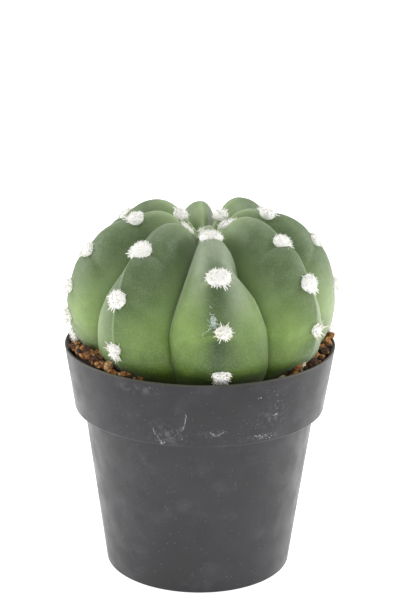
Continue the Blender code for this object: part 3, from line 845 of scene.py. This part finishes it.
def build_stem(plan, given):
    """Bends a grid for each rib into its two flanks, closed at the crown and at the root."""
    ribs = rib_grids(plan, given)
    across, angle, root = [plan.value(name) for name in ("across", "angle", "root")]
    crest_radius, crest_height = crest_outline(plan, angle, given)
    furrow_radius, furrow_height = furrow_outline(plan, angle, given)
    ahead_radius, ahead_height = crest_outline(plan, angle + 1, given)
    slope_x = ahead_radius - crest_radius
    slope_z = ahead_height - crest_height
    slope = plan.math("SQRT", slope_x * slope_x + slope_z * slope_z)

    share = flank_share(plan, across, angle)
    hump = crest_hump(plan, given) * share * share
    rise = plan.value("rise") * share * plan.ease(*RISE_ANGLES, angle) * plan.fade(*SHOULDER_ANGLES, angle)
    reach = plan.value("reach") * share * plan.ease(*SHOULDER_ANGLES, angle) * plan.fade(*REACH_END, angle)
    radius = furrow_radius + (crest_radius - furrow_radius) * share - hump * slope_z / slope + reach
    height = furrow_height + (crest_height - furrow_height) * share + hump * slope_x / slope + rise

    is_root = plan.math("GREATER_THAN", root, 0)
    taper = plan.math("SQRT", plan.math("MAXIMUM", 1 - root * root, 0))
    radius = radius * (1 - is_root) + given["Root Radius"] * taper * is_root
    height = height - given["Root Length"] * root * is_root

    turn = flank_turn(plan, across, angle)
    x = STEM_CENTRE.x + radius * plan.math("SINE", turn)
    y = STEM_CENTRE.y - radius * plan.math("COSINE", turn)
    ribs = plan.moved(ribs, plan.combine(x, y, height))
    ribs = plan.make("GeometryNodeMergeByDistance", {"Geometry": ribs, "Distance": JOIN_DISTANCE})
    waves = (plan.noise(170) - 0.5) * 3 + (plan.noise(700) - 0.5)
    normal = plan.make("GeometryNodeInputNormal")
    return plan.smooth(plan.moved(ribs, offset=plan.scaled(normal, waves * given["Relief"])))


def furrow_before(values):
    """For each rib, the value of the furrow before it."""
    return values[-1:] + values[:-1]


def make_stem(finish):
    count = len(RIB_TURNS)
    base = points_mesh(
        "rib_points", [(0, 0, 0)] * count, rib=range(count),
        crest_turn=RIB_TURNS, lean=(FRONT_RIB_LEAN,) + (0,) * (count - 1),
        furrow_before=(FURROW_TURNS[-1] - 360,) + FURROW_TURNS[:-1], furrow_after=FURROW_TURNS,
        lean_before=furrow_before(FURROW_LEANS), lean_after=FURROW_LEANS,
        foot_before=furrow_before(FURROW_FOOT_LEANS), foot_after=FURROW_FOOT_LEANS,
        waist_before=WAISTS_BEFORE, waist_after=WAISTS_AFTER, waist_spread=WAIST_SPREADS,
        keen_before=KEEN_BEFORE, keen_after=KEEN_AFTER, keen_angle=KEEN_ANGLES, keen_spread=KEEN_SPREADS,
        rise=RIB_RISES, reach=RIB_REACHES, crown_areole=CROWN_AREOLES, first_areole=FIRST_AREOLES,
        areole_step=AREOLE_STEPS, areole_shrink=AREOLE_STEP_SHRINKS)
    stem = grown("stem_skin", base, shape_tree("ribbed_stem", STEM_SIZES, build_stem), Material=finish)
    return dressed(stem, "cactus_skin", "cactus")


# The areoles on the stem

def crest_lines(stem):
    """For each rib, its crest's ways and places, from the crown down."""
    mesh = stem.data
    rib, across, way, angle = [mesh.attributes[name].data for name in ("rib", "across", "way", "angle")]
    lines = [[] for _ in RIB_TURNS]
    for k, vert in enumerate(mesh.vertices):
        on_crest = across[k].value < CREST_WIDTH and angle[k].value < CREST_END_ANGLE
        if on_crest and way[k].value > 0:
            lines[round(rib[k].value)].append((way[k].value, vert.co.copy()))
    return [sorted(line, key=lambda spot: spot[0]) for line in lines]


def along_crest(line, way):
    """The place on a crest at a distance from the crown."""
    k = 1
    while k < len(line) - 1 and line[k][0] < way:
        k += 1
    (start, low), (end, high) = line[k - 1], line[k]
    return low.lerp(high, (way - start) / (end - start))


def areoles(stem):
    """For each areole its place, its axes across the rib, up along the crest and out of it, its way,
    and how much wider and fuller its cushion is."""
    found = []
    for rib, line in enumerate(crest_lines(stem)):
        way = CROWN_AREOLES[rib]
        following = FIRST_AREOLES[rib]
        step = AREOLE_STEPS[rib]
        while way < line[-1][0] and along_crest(line, way).z > AREOLE_LOWEST:
            here = along_crest(line, way)
            along = (along_crest(line, way - MM) - along_crest(line, way + MM)).normalized()
            turn = math.radians(RIB_TURNS[rib])
            sideways = Vector((math.cos(turn), math.sin(turn), 0))
            out = sideways.cross(along).normalized()
            if out.dot(here - STEM_CENTRE - Vector((0, 0, POT_HEIGHT))) < 0:
                out = -out
            fluff = FIRST_CUSHION_FLUFFS[rib] if way == FIRST_AREOLES[rib] else 1
            found.append((here, sideways, along, out, way, CUSHION_WIDTHS[rib], fluff))
            way = following
            following += step
            step *= AREOLE_STEP_SHRINKS[rib]
    return found


def areole_size(way):
    size = CROWN_AREOLE_SIZE
    for begin, stretch, change in AREOLE_CHANGES:
        size += passed(way, begin, stretch) * change
    return size


def areole_points(stem):
    """A point for each areole. The wool of an old one has shrunk off its spines, and the lowest
    cushions are pressed into a wedge that points down."""
    places, sideways, along, out, ways, widths, fluffs = zip(*areoles(stem))
    rng = random.Random(SEED)
    return points_mesh("areole_points", places, sideways=sideways, along=along, out=out,
                       size=[areole_size(way) * rng.uniform(*AREOLE_LUCK) for way in ways],
                       age=[passed(way, *AREOLE_AGEING) for way in ways],
                       wedge=[passed(way, *AREOLE_WEDGING) for way in ways],
                       cushion_width=widths, fluff=fluffs)


def strand(plan, length, radius, bend, sides, segments):
    """A bent, pointed hair or spine that stands on the origin."""
    sizes = {"Vertices": sides, "Side Segments": segments, "Radius Top": radius * TIP_SHARE,
             "Radius Bottom": radius, "Depth": length}
    hair = plan.make("GeometryNodeMeshCone", sizes, fill_type="NGON")
    x, y, z = plan.separate(plan.position())
    return plan.moved(hair, plan.combine(x + z * z * bend / length, y, z))


def fan(plan, points, strands, facing, opening, tilt, shape, size):
    """Strands that spread from each areole's middle, evenly around one direction."""
    inputs = {"Geometry": points, "Amount": strands}
    copies = plan.node("GeometryNodeDuplicateElements", inputs, domain="POINT")
    roots = plan.keep(Wire(plan, copies.outputs["Geometry"]), "count", Wire(plan, copies.outputs[1]))
    place = (plan.value("count") + 0.5 + plan.random(-0.3, 0.3, 1)) / strands - 0.5
    around = facing + place * opening
    flat = plan.math("SINE", tilt)
    sideways = plan.scaled(plan.direction("sideways"), plan.math("COSINE", around) * flat)
    along = plan.scaled(plan.direction("along"), plan.math("SINE", around) * flat)
    out = plan.scaled(plan.direction("out"), plan.math("COSINE", tilt))
    way = plan.vector("ADD", plan.vector("ADD", sideways, along), out)
    turn = plan.make("FunctionNodeAlignRotationToVector", {"Vector": way}, axis="Z")
    return plan.copies(roots, shape, turn, size)


def cushions(plan, given):
    """A lumpy ball on each areole, stretched to a cushion, with the lowest ones pinched below."""
    ball = plan.make("GeometryNodeMeshIcoSphere", {"Radius": 1, "Subdivisions": 3})
    ball = plan.keep(ball, "on_ball", plan.position(), "FLOAT_VECTOR")
    fluff = plan.value("fluff")
    scale = plan.combine(given["Width"] * plan.value("cushion_width"), given["Length"] * fluff,
                         given["Height"] * fluff)
    axes = {"Primary Axis": plan.direction("out"), "Secondary Axis": plan.direction("along")}
    turn = plan.make("FunctionNodeAxesToRotation", axes, primary_axis="Z", secondary_axis="Y")
    balls = plan.copies(given["Base"], ball, turn, plan.scaled(scale, plan.value("size")))
    ball_x, ball_y, _ = plan.separate(plan.direction("on_ball"))
    below = plan.value("wedge") * plan.value("size") * plan.ease(0.6, -1, ball_y)
    pinch = plan.scaled(plan.direction("sideways"), ball_x * below * given["Width"] * given["Wedge Widening"])
    droop = plan.scaled(plan.direction("along"), below * given["Length"] * given["Wedge Rise"])
    balls = plan.moved(balls, offset=plan.vector("ADD", pinch, droop))
    normal = plan.make("GeometryNodeInputNormal")
    lumps = plan.noise(1100) - 0.5
    return plan.moved(balls, offset=plan.scaled(normal, lumps * 2 * given["Lumps"]))


def hairs(plan, given, balls, kind, spread, bend, segments, sides):
    """Short curved hairs or locks all over the outer side of the cushions."""
    normal = plan.make("GeometryNodeInputNormal")
    outward = plan.vector("DOT_PRODUCT", normal, plan.direction("out"), output="Value")
    scatter = plan.node("GeometryNodeDistributePointsOnFaces", {
        "Mesh": balls, "Selection": plan.math("GREATER_THAN", outward, -0.1),
        "Density": given[kind + "s per Square Metre"], "Seed": given["Seed"] + sides})
    lean = plan.combine(plan.random(-spread, spread, 1), plan.random(-spread, spread, 2),
                        plan.random(0, math.tau, 3))
    lean = plan.make("FunctionNodeEulerToRotation", {0: lean})
    turns = {0: Wire(plan, scatter.outputs["Rotation"]), 1: lean}
    turn = plan.make("FunctionNodeRotateRotation", turns, rotation_space="LOCAL")
    hair = strand(plan, given[kind + " Length"], given[kind + " Radius"], bend, sides, segments)
    size = plan.combine(1, 1, plan.random(0.5, 1.2, 4))
    return plan.copies(Wire(plan, scatter.outputs["Points"]), hair, turn, size)


def build_tufts(plan, given):
    """A cushion on each areole, with hairs and locks on it and a few drips below."""
    balls = cushions(plan, given)
    drip = strand(plan, given["Drip Length"], given["Drip Radius"], bend=0.1, sides=5, segments=3)
    tilt = given["Drip Tilt"] + plan.random(-0.12, 0.08, 2)
    drips = fan(plan, given["Base"], given["Drips"], -math.pi / 2, 1.7, tilt, drip,
                plan.random(0.72, 1.1, 3) * plan.value("size"))
    return plan.smooth(plan.join(
        balls,
        hairs(plan, given, balls, "Hair", spread=0.9, bend=0.5, segments=3, sides=3),
        hairs(plan, given, balls, "Lock", spread=0.7, bend=0.3, segments=2, sides=4),
        drips))


def build_spines(plan, given):
    """A star of short straight felted spines on each areole, hidden in the wool of the young ones."""
    spine = strand(plan, given["Spine Length"], given["Spine Radius"], bend=0.06, sides=5, segments=3)
    tilt = given["Spread"] * plan.random(0.7, 1.12, 2)
    size = plan.random(0.8, 1.15, 3) * (0.5 + 0.42 * plan.value("age"))
    return plan.smooth(fan(plan, given["Base"], given["Spines"], 0, math.tau, tilt, spine, size))


def make_areoles(stem, wool, horn):
    points = areole_points(stem)
    for name, sizes, build, finish in (("areole_wool", WOOL_SIZES, build_tufts, wool),
                                       ("areole_spines", SPINE_SIZES, build_spines, horn)):
        dressed(grown(name, points, shape_tree(name, sizes, build), Material=finish), "cactus_skin")


# Pot and soil

def arc(centre_radius, centre_height, radius, start, end, steps):
    """Points of a rounded edge, with its angles counted from +R towards +Z."""
    points = []
    for k in range(steps + 1):
        angle = math.radians(start + (end - start) * k / steps)
        points.append((centre_radius + radius * math.cos(angle), centre_height + radius * math.sin(angle)))
    return points


def turned(name, profile, tree, finish, **values):
    """A piece turned from a profile of (radius, height) points."""
    base = points_mesh(name + "_outline", [(radius, 0, height) for radius, height in profile])
    piece = grown(name, base, tree, Material=finish, Points=len(profile), **values)
    piece.data.shade_smooth()
    return piece


def build_turned(plan, given):
    """Turns a profile that starts and ends on the axis."""
    sizes = {"Size X": 1, "Size Y": 1, "Vertices X": given["Sides"] + 1, "Vertices Y": given["Points"]}
    grid = plan.make("GeometryNodeMeshGrid", sizes)
    column, row, _ = plan.separate(plan.position())
    row = plan.math("ROUND", (row + 0.5) * (given["Points"] - 1))
    radius, _, height = plan.separate(plan.sample(given["Base"], plan.position(), row, "FLOAT_VECTOR"))
    turn = (column + 0.5) * math.tau
    x = radius * plan.math("SINE", turn)
    y = radius * plan.math("COSINE", turn) * -1
    solid = plan.moved(grid, plan.combine(x, y, height))
    return plan.make("GeometryNodeMergeByDistance", {"Geometry": solid, "Distance": 0.001 * MM})


def build_drained(plan, given):
    """Turns a profile and drills a circle of holes through it."""
    circle = {"Vertices": given["Holes"], "Radius": given["Hole Circle"]}
    drill = {"Vertices": 32, "Radius": given["Hole Radius"], "Depth": given["Drill Length"]}
    drills = plan.copies(plan.make("GeometryNodeMeshCircle", circle),
                         plan.make("GeometryNodeMeshCylinder", drill))
    inputs = {"Mesh 1": build_turned(plan, given), "Mesh 2": drills}
    return plan.make("GeometryNodeMeshBoolean", inputs, operation="DIFFERENCE", solver="EXACT")


def make_pot(finish):
    step = POT_HEIGHT - COLLAR_HEIGHT
    floor = BASE_RECESS + POT_FLOOR
    lip = RIM_WALL / 2
    inner_base = BASE_RADIUS - WALL
    inner_top = BODY_TOP_RADIUS - WALL
    foot_inner = BASE_RADIUS - FOOT_RING_WIDTH
    soft = INSIDE_ROUNDING
    edge = EDGE_ROUNDING
    profile = [(0, floor), (DRAIN_CIRCLE, floor)]
    profile += arc(inner_base - soft, floor + soft, soft, -90, 0, 5)
    profile += [(inner_top, step - 2 * soft), (inner_top + 0.3 * soft, step)]
    profile += [(COLLAR_FOOT_RADIUS - WALL, step + WALL)]
    profile += [(collar_inner_radius(POT_HEIGHT - THINNING), POT_HEIGHT - THINNING)]
    profile += arc(RIM_RADIUS - lip, POT_HEIGHT - lip, lip, 180, 0, 10)
    profile += arc(COLLAR_FOOT_RADIUS - edge, step + edge, edge, 0, -90, 5)
    profile += arc(BODY_TOP_RADIUS + STEP_ROUNDING, step - STEP_ROUNDING, STEP_ROUNDING, 90, 180, 3)
    profile += arc(BASE_RADIUS - edge, edge, edge, 0, -90, 5)
    profile += [(foot_inner, 0), (foot_inner - BASE_RECESS, BASE_RECESS), (DRAIN_CIRCLE, BASE_RECESS)]
    profile += [(0, BASE_RECESS)]
    tree = shape_tree("turned_pot", {**TURNED_SIZES, **DRAIN_SIZES}, build_drained)
    pot = turned("pot_shell", profile, tree, finish)
    pot.data.set_sharp_from_angle(angle=SHARP_EDGE)
    return dressed(pot, "pot_plastic", "pot")


def soil_height(turn, radius):
    """The soil's top, heaped on two sides, low in front and lumpy all over."""
    turn %= 360
    k = 1
    while SOIL_LEVELS[k][0] < turn:
        k += 1
    (start, low), (end, high) = SOIL_LEVELS[k - 1], SOIL_LEVELS[k]
    share = (turn - start) / (end - start)
    level = low + (high - low) * share * share * (3 - 2 * share)
    mound = math.exp(-(((turn - MOUND_TURN) / MOUND_SPREAD) ** 2)) * MOUND_RISE
    level += mound * passed(MOUND_OUTER_RADIUS - radius, 0, MOUND_FLANK)
    spot = turn_point(turn, radius, 0) / LUMP_WIDTH
    lumps = noise.noise(spot) + 0.6 * noise.noise(2 * spot)
    return POT_HEIGHT + level * MM + lumps * LUMP_RISE * MM


def collar_inner_radius(height):
    """The collar's wall grows thinner over its last few millimetres."""
    share = passed(height, POT_HEIGHT - COLLAR_HEIGHT, COLLAR_HEIGHT)
    thinned = passed(height - POT_HEIGHT + THINNING, 0, THINNING) * (WALL - RIM_WALL)
    return COLLAR_FOOT_RADIUS + (RIM_RADIUS - COLLAR_FOOT_RADIUS) * share - WALL + thinned


def set_tone(piece, tone):
    """Gives a whole piece one tone of soil."""
    name_values(piece.data, "tone", [tone] * len(piece.data.vertices))


def make_soil_bed(finish):
    """The packed soil under the crumbs, from the pot's floor to a lumpy top with a hole for the stem."""
    gap = BED_GAP
    step = POT_HEIGHT - COLLAR_HEIGHT
    floor = BASE_RECESS + POT_FLOOR + gap
    top = SOIL_BED
    hole = STEM_HOLE_RADIUS
    foot = BASE_RADIUS - WALL - gap
    wall = collar_inner_radius(top - MM) - gap
    profile = [(0, floor), (foot - BED_CORNER, floor), (foot, floor + BED_CORNER)]
    profile += [(BODY_TOP_RADIUS - WALL - gap, step), (COLLAR_FOOT_RADIUS - WALL - gap, step + WALL + gap)]
    profile += [(wall + (hole - wall) * k / BED_RINGS, top) for k in range(BED_RINGS + 1)]
    profile += [(hole - MM, top - STEM_HOLE_DEPTH), (0, top - STEM_HOLE_TIP)]
    tree = shape_tree("turned_soil", TURNED_SIZES, build_turned)
    bed = turned("soil_bed", profile, tree, finish, Sides=BED_SIDES)
    for vert in bed.data.vertices:
        radius = vert.co.xy.length
        if vert.co.z > top - 0.1 * MM and radius > hole:
            turn = math.degrees(math.atan2(vert.co.x, -vert.co.y)) % 360
            vert.co.z = soil_height(turn, radius) - BED_UNDER_CRUMBS
    set_tone(bed, BED_TONE)
    return dressed(bed, "potting_mix", "soil")


def build_crumbs(plan, given):
    """A rough, flattened lump on each point."""
    cube = {"Size": (1.5, 1.5, 1.5), "Vertices X": 3, "Vertices Y": 3, "Vertices Z": 3}
    place = plan.position()
    mix = {0: given["Roundness"], 4: place, 5: plan.vector("NORMALIZE", place)}
    lump = plan.moved(plan.make("GeometryNodeMeshCube", cube),
                      plan.make("ShaderNodeMix", mix, 1, data_type="VECTOR"))
    turn = plan.make("FunctionNodeEulerToRotation", {0: plan.direction("spin")})
    crumbs = plan.copies(given["Base"], lump, turn, plan.direction("stretch"))
    rough = plan.vector("SUBTRACT", plan.noise(1100, output="Color"), (0.5, 0.5, 0.5))
    offset = plan.scaled(rough, given["Roughness"] * plan.value("grain_size") * 2)
    return plan.moved(crumbs, offset=offset)


def skin_surface(stem):
    """The stem's surface, to measure distances from."""
    places = [vert.co for vert in stem.data.vertices]
    return BVHTree.FromPolygons(places, [face.vertices for face in stem.data.polygons])


def clear_of(skin, spot, margin):
    """Whether a place is outside the stem by at least a margin."""
    nearest, normal, _, distance = skin.find_nearest(spot)
    return (spot - nearest).dot(normal) > 0 and distance > margin


def make_crumbs(skin, finish):
    """Chunks and loose crumbs in the ring between the stem and the pot's wall."""
    rng = random.Random(SEED + 1)
    crumbs = []
    for turn, radius, height, half_width, half_height, tone in CHUNKS:
        spot = turn_point(turn, radius * MM, POT_HEIGHT + height * MM)
        spin = Vector((rng.uniform(-0.4, 0.4), rng.uniform(-0.4, 0.4), math.radians(turn)))
        crumbs.append((spot, spin, Vector((half_width, half_width * 0.8, half_height)) * MM, tone))
    tries = 0
    while len(crumbs) < CRUMBS and tries < CRUMB_TRIES:
        tries += 1
        turn = rng.uniform(0, 360)
        size = rng.choice(CRUMB_SIZES)
        radius = math.sqrt(rng.uniform(CRUMB_INNER_RADIUS ** 2, RIM_RADIUS ** 2))
        spot = turn_point(turn, radius, 0)
        spot.z = soil_height(turn, radius) + rng.uniform(-0.5, 0.55) * size - 0.1 * MM
        past_wall = radius + CRUMB_WALL_ROOM * size > collar_inner_radius(spot.z)
        if past_wall or not clear_of(skin, spot, CRUMB_STEM_ROOM * size):
            continue
        spin = Vector([rng.uniform(0, math.tau) for _ in range(3)])
        stretch = Vector([rng.uniform(0.5, 1.15) * size for _ in range(3)])
        crumbs.append((spot, spin, stretch, rng.random()))
    places, spins, stretches, tones = zip(*crumbs)
    base = points_mesh("crumb_points", places, spin=spins, stretch=stretches, tone=tones,
                       grain_size=[sum(stretch) / 3 for stretch in stretches])
    tree = shape_tree("crumbs", CRUMB_LUMPS, build_crumbs)
    return dressed(grown("soil_crumbs", base, tree, Material=finish), "potting_mix")


def build_threads(plan, given):
    """Thin round threads along the base's lines."""
    path = plan.make("GeometryNodeMeshToCurve", {"Mesh": given["Base"]})
    path = plan.make("GeometryNodeCurveSplineType", {"Curve": path}, spline_type="CATMULL_ROM")
    path = plan.make("GeometryNodeResampleCurve", {"Curve": path, "Count": 16})
    circle = {"Resolution": given["Sides"], "Radius": given["Thickness"] * 0.5}
    ring = plan.make("GeometryNodeCurvePrimitiveCircle", circle)
    inputs = {"Curve": path, "Profile Curve": ring, "Fill Caps": True}
    return plan.smooth(plan.make("GeometryNodeCurveToMesh", inputs))


def make_threads(name, paths, thickness, finish, slot):
    places, edges = [], []
    for path in paths:
        edges += [(k, k + 1) for k in range(len(places), len(places) + len(path) - 1)]
        places += [tuple(place) for place in path]
    mesh = bpy.data.meshes.new(name + "_paths")
    mesh.from_pydata(places, edges, [])
    tree = shape_tree(name, {"Thickness": thickness, "Sides": 5}, build_threads)
    return dressed(grown(name, mesh, tree, Material=finish), slot)


def fibre_path(rng):
    """A wandering line that lies on the soil."""
    turn = rng.uniform(0, 360)
    radius = rng.uniform(25, 30) * MM
    heading = rng.uniform(0, math.tau)
    path = []
    for _ in range(FIBRE_POINTS):
        path.append(turn_point(turn, radius, soil_height(turn, radius) + rng.uniform(0.5, 1.1) * MM))
        turn += math.degrees(FIBRE_STEP / radius) * math.cos(heading)
        radius += FIBRE_STEP * math.sin(heading)
        heading += rng.uniform(-0.6, 0.6)
    return path


def make_fibres(skin, finish):
    """Coir fibres, where they lie clear of the pot's wall and the stem."""
    rng = random.Random(SEED + 2)
    paths = []
    while len(paths) < FIBRES:
        path = fibre_path(rng)
        if all(spot.xy.length < collar_inner_radius(spot.z) - FIBRE_ROOM and clear_of(skin, spot, FIBRE_ROOM)
               for spot in path):
            paths.append(path)
    set_tone(make_threads("soil_fibres", paths, FIBRE_THICKNESS, finish, "potting_mix"), FIBRE_TONE)


def collar_point(turn, below, lift=0.0):
    """A place on the collar's outside, so many mm under the rim."""
    radius = RIM_RADIUS - (RIM_RADIUS - COLLAR_FOOT_RADIUS) * below * MM / COLLAR_HEIGHT
    return turn_point(turn, radius + lift, POT_HEIGHT - below * MM)


def build_grains(plan, given):
    """A flat grain on each point."""
    grain = plan.make("GeometryNodeMeshIcoSphere", {"Radius": 1, "Subdivisions": 1})
    turn = plan.make("FunctionNodeAlignRotationToVector", {"Vector": plan.direction("out")}, axis="Z")
    size = plan.value("size")
    scale = plan.combine(size * plan.random(0.6, 1.5, 1), size, size * given["Flatness"])
    return plan.copies(given["Base"], grain, turn, scale)


def make_collar_dust(finish):
    rng = random.Random(SEED + 3)
    strands = [[collar_point(turn, below, STRAND_LIFT) for turn, below in marks] for marks in COLLAR_STRANDS]
    make_threads("collar_lint", strands, STRAND_THICKNESS, finish, "pot_plastic")
    grains = []

    def add(turn, below, size):
        grains.append((collar_point(turn, below), turn_point(turn, 1, 0), size))

    for marks in COLLAR_STRANDS:
        for (turn, below), (next_turn, next_below) in zip(marks, marks[1:]):
            for _ in range(GRAINS_PER_STRETCH):
                share = rng.random()
                here = turn + (next_turn - turn) * share + rng.gauss(0, 0.25)
                depth = below + (next_below - below) * share + rng.gauss(0, 0.13)
                add(here, depth, rng.uniform(0.04, 0.13) * MM)
    for turn, below, half_turn, half_height, count, size in COLLAR_DUST:
        for _ in range(count):
            here = turn + rng.uniform(-half_turn, half_turn)
            depth = below + rng.uniform(-half_height, half_height)
            depth = min(max(depth, COLLAR_DUST_TOP), COLLAR_DUST_FOOT)
            add(here, depth, size * MM * rng.uniform(0.5, 1.1))
    places, outward, sizes = zip(*grains)
    base = points_mesh("grain_points", places, out=outward, size=sizes)
    tree = shape_tree("grains", {"Flatness": 0.4}, build_grains)
    dressed(grown("collar_dust", base, tree, Material=finish), "pot_plastic")


def make_lint(skin, finish):
    """A wisp of lint caught on the front rib."""
    rng = random.Random(SEED + 4)

    def on_skin(turn, height, lift):
        far = turn_point(turn, 2 * RIM_RADIUS, POT_HEIGHT + height * MM, STEM_CENTRE)
        place, normal, _, _ = skin.ray_cast(far, turn_point(turn, -1, 0))
        return place + normal * lift

    paths = [[on_skin(turn, height, LINT_LIFT) for turn, height in LINT_PATH]]
    for _ in range(LINT_STRANDS):
        turn = LINT_TUFT[0] + rng.gauss(0, 0.7)
        height = LINT_TUFT[1] + rng.gauss(0, 0.9)
        path = []
        for _ in range(LINT_POINTS):
            path.append(on_skin(turn, height, rng.uniform(0.04, 0.45) * MM))
            turn += rng.uniform(-0.7, 0.7)
            height += rng.uniform(-0.5, 0.5)
        paths.append(path)
    make_threads("lint", paths, LINT_THICKNESS, finish, "cactus_skin")


# Camera, lights and floor

def make_camera():
    data = bpy.data.cameras.new("camera")
    camera = bpy.data.objects.new("camera", data)
    bpy.context.scene.collection.objects.link(camera)
    forward = Vector((0, math.cos(CAMERA_PITCH), -math.sin(CAMERA_PITCH)))
    right = forward.cross(Vector((0, 0, 1))).normalized()
    up = right.cross(forward)
    rolled_right = right * math.cos(CAMERA_ROLL) + up * math.sin(CAMERA_ROLL)
    rolled_up = up * math.cos(CAMERA_ROLL) - right * math.sin(CAMERA_ROLL)
    pose = Matrix((rolled_right, rolled_up, -forward)).transposed().to_4x4()
    pose.translation = Vector((0, -CAMERA_DISTANCE * math.cos(CAMERA_RISE),
                               POT_HEIGHT + CAMERA_DISTANCE * math.sin(CAMERA_RISE)))
    camera.matrix_world = pose
    data.sensor_width = SENSOR_WIDTH
    data.lens = FOCAL_PIXELS * SENSOR_WIDTH / IMAGE_LONG_SIDE
    data.clip_start = 0.01
    bpy.context.scene.camera = camera


def make_lamp(name, place, size, power):
    data = bpy.data.lights.new(name, "AREA")
    data.shape = "SQUARE"
    data.size = size
    data.energy = power * STAGE_LIGHT
    lamp = bpy.data.objects.new(name, data)
    bpy.context.scene.collection.objects.link(lamp)
    lamp.location = place
    lamp.rotation_euler = (Vector(LAMP_TARGET) - Vector(place)).to_track_quat("-Z", "Y").to_euler()


def make_floor():
    bm = bmesh.new()
    bmesh.ops.create_grid(bm, x_segments=1, y_segments=1, size=FLOOR_REACH)
    mesh = bpy.data.meshes.new("floor")
    bm.to_mesh(mesh)
    bm.free()
    floor = bpy.data.objects.new("floor", mesh)
    bpy.context.scene.collection.objects.link(floor)
    mesh.materials.append(plain_finish("pale_floor", PALE_FLOOR, Roughness=0.9, Emission_Color=(1, 1, 1, 1),
                                       Emission_Strength=FLOOR_GLOW))


def make_studio():
    scene = bpy.context.scene
    scene.view_settings.view_transform = "Standard"
    world = bpy.data.worlds.new("white_room")
    scene.world = world
    world.use_nodes = True
    background = world.node_tree.nodes["Background"]
    background.inputs["Color"].default_value = (1, 1, 1, 1)
    background.inputs["Strength"].default_value = ROOM_LIGHT * STAGE_LIGHT
    for name, (place, size, power) in LAMPS.items():
        make_lamp(name, place, size, power)
    make_floor()


def main():
    make_camera()
    green = new_finish("green_skin", build_skin, Sheen_Weight=0.32, Sheen_Roughness=0.38)
    wool = new_finish("white_wool", build_wool, Roughness=0.9, Sheen_Weight=0.6, Sheen_Roughness=0.6)
    horn = plain_finish("pale_spine", HORN, Roughness=0.45)
    plastic = new_finish("charcoal_plastic", build_plastic, Specular_IOR_Level=0.42,
                         Sheen_Weight=0.2, Sheen_Roughness=0.3)
    mix = new_finish("potting_mix", build_soil, Roughness=0.88)
    stem = make_stem(green)
    skin = skin_surface(stem)
    make_areoles(stem, wool, horn)
    make_pot(plastic)
    make_soil_bed(mix)
    make_crumbs(skin, mix)
    make_fibres(skin, mix)
    make_collar_dust(plain_finish("pale_dust", DUST, Roughness=0.9))
    make_lint(skin, plain_finish("pale_lint", LINT, Roughness=0.9))
    make_studio()


main()
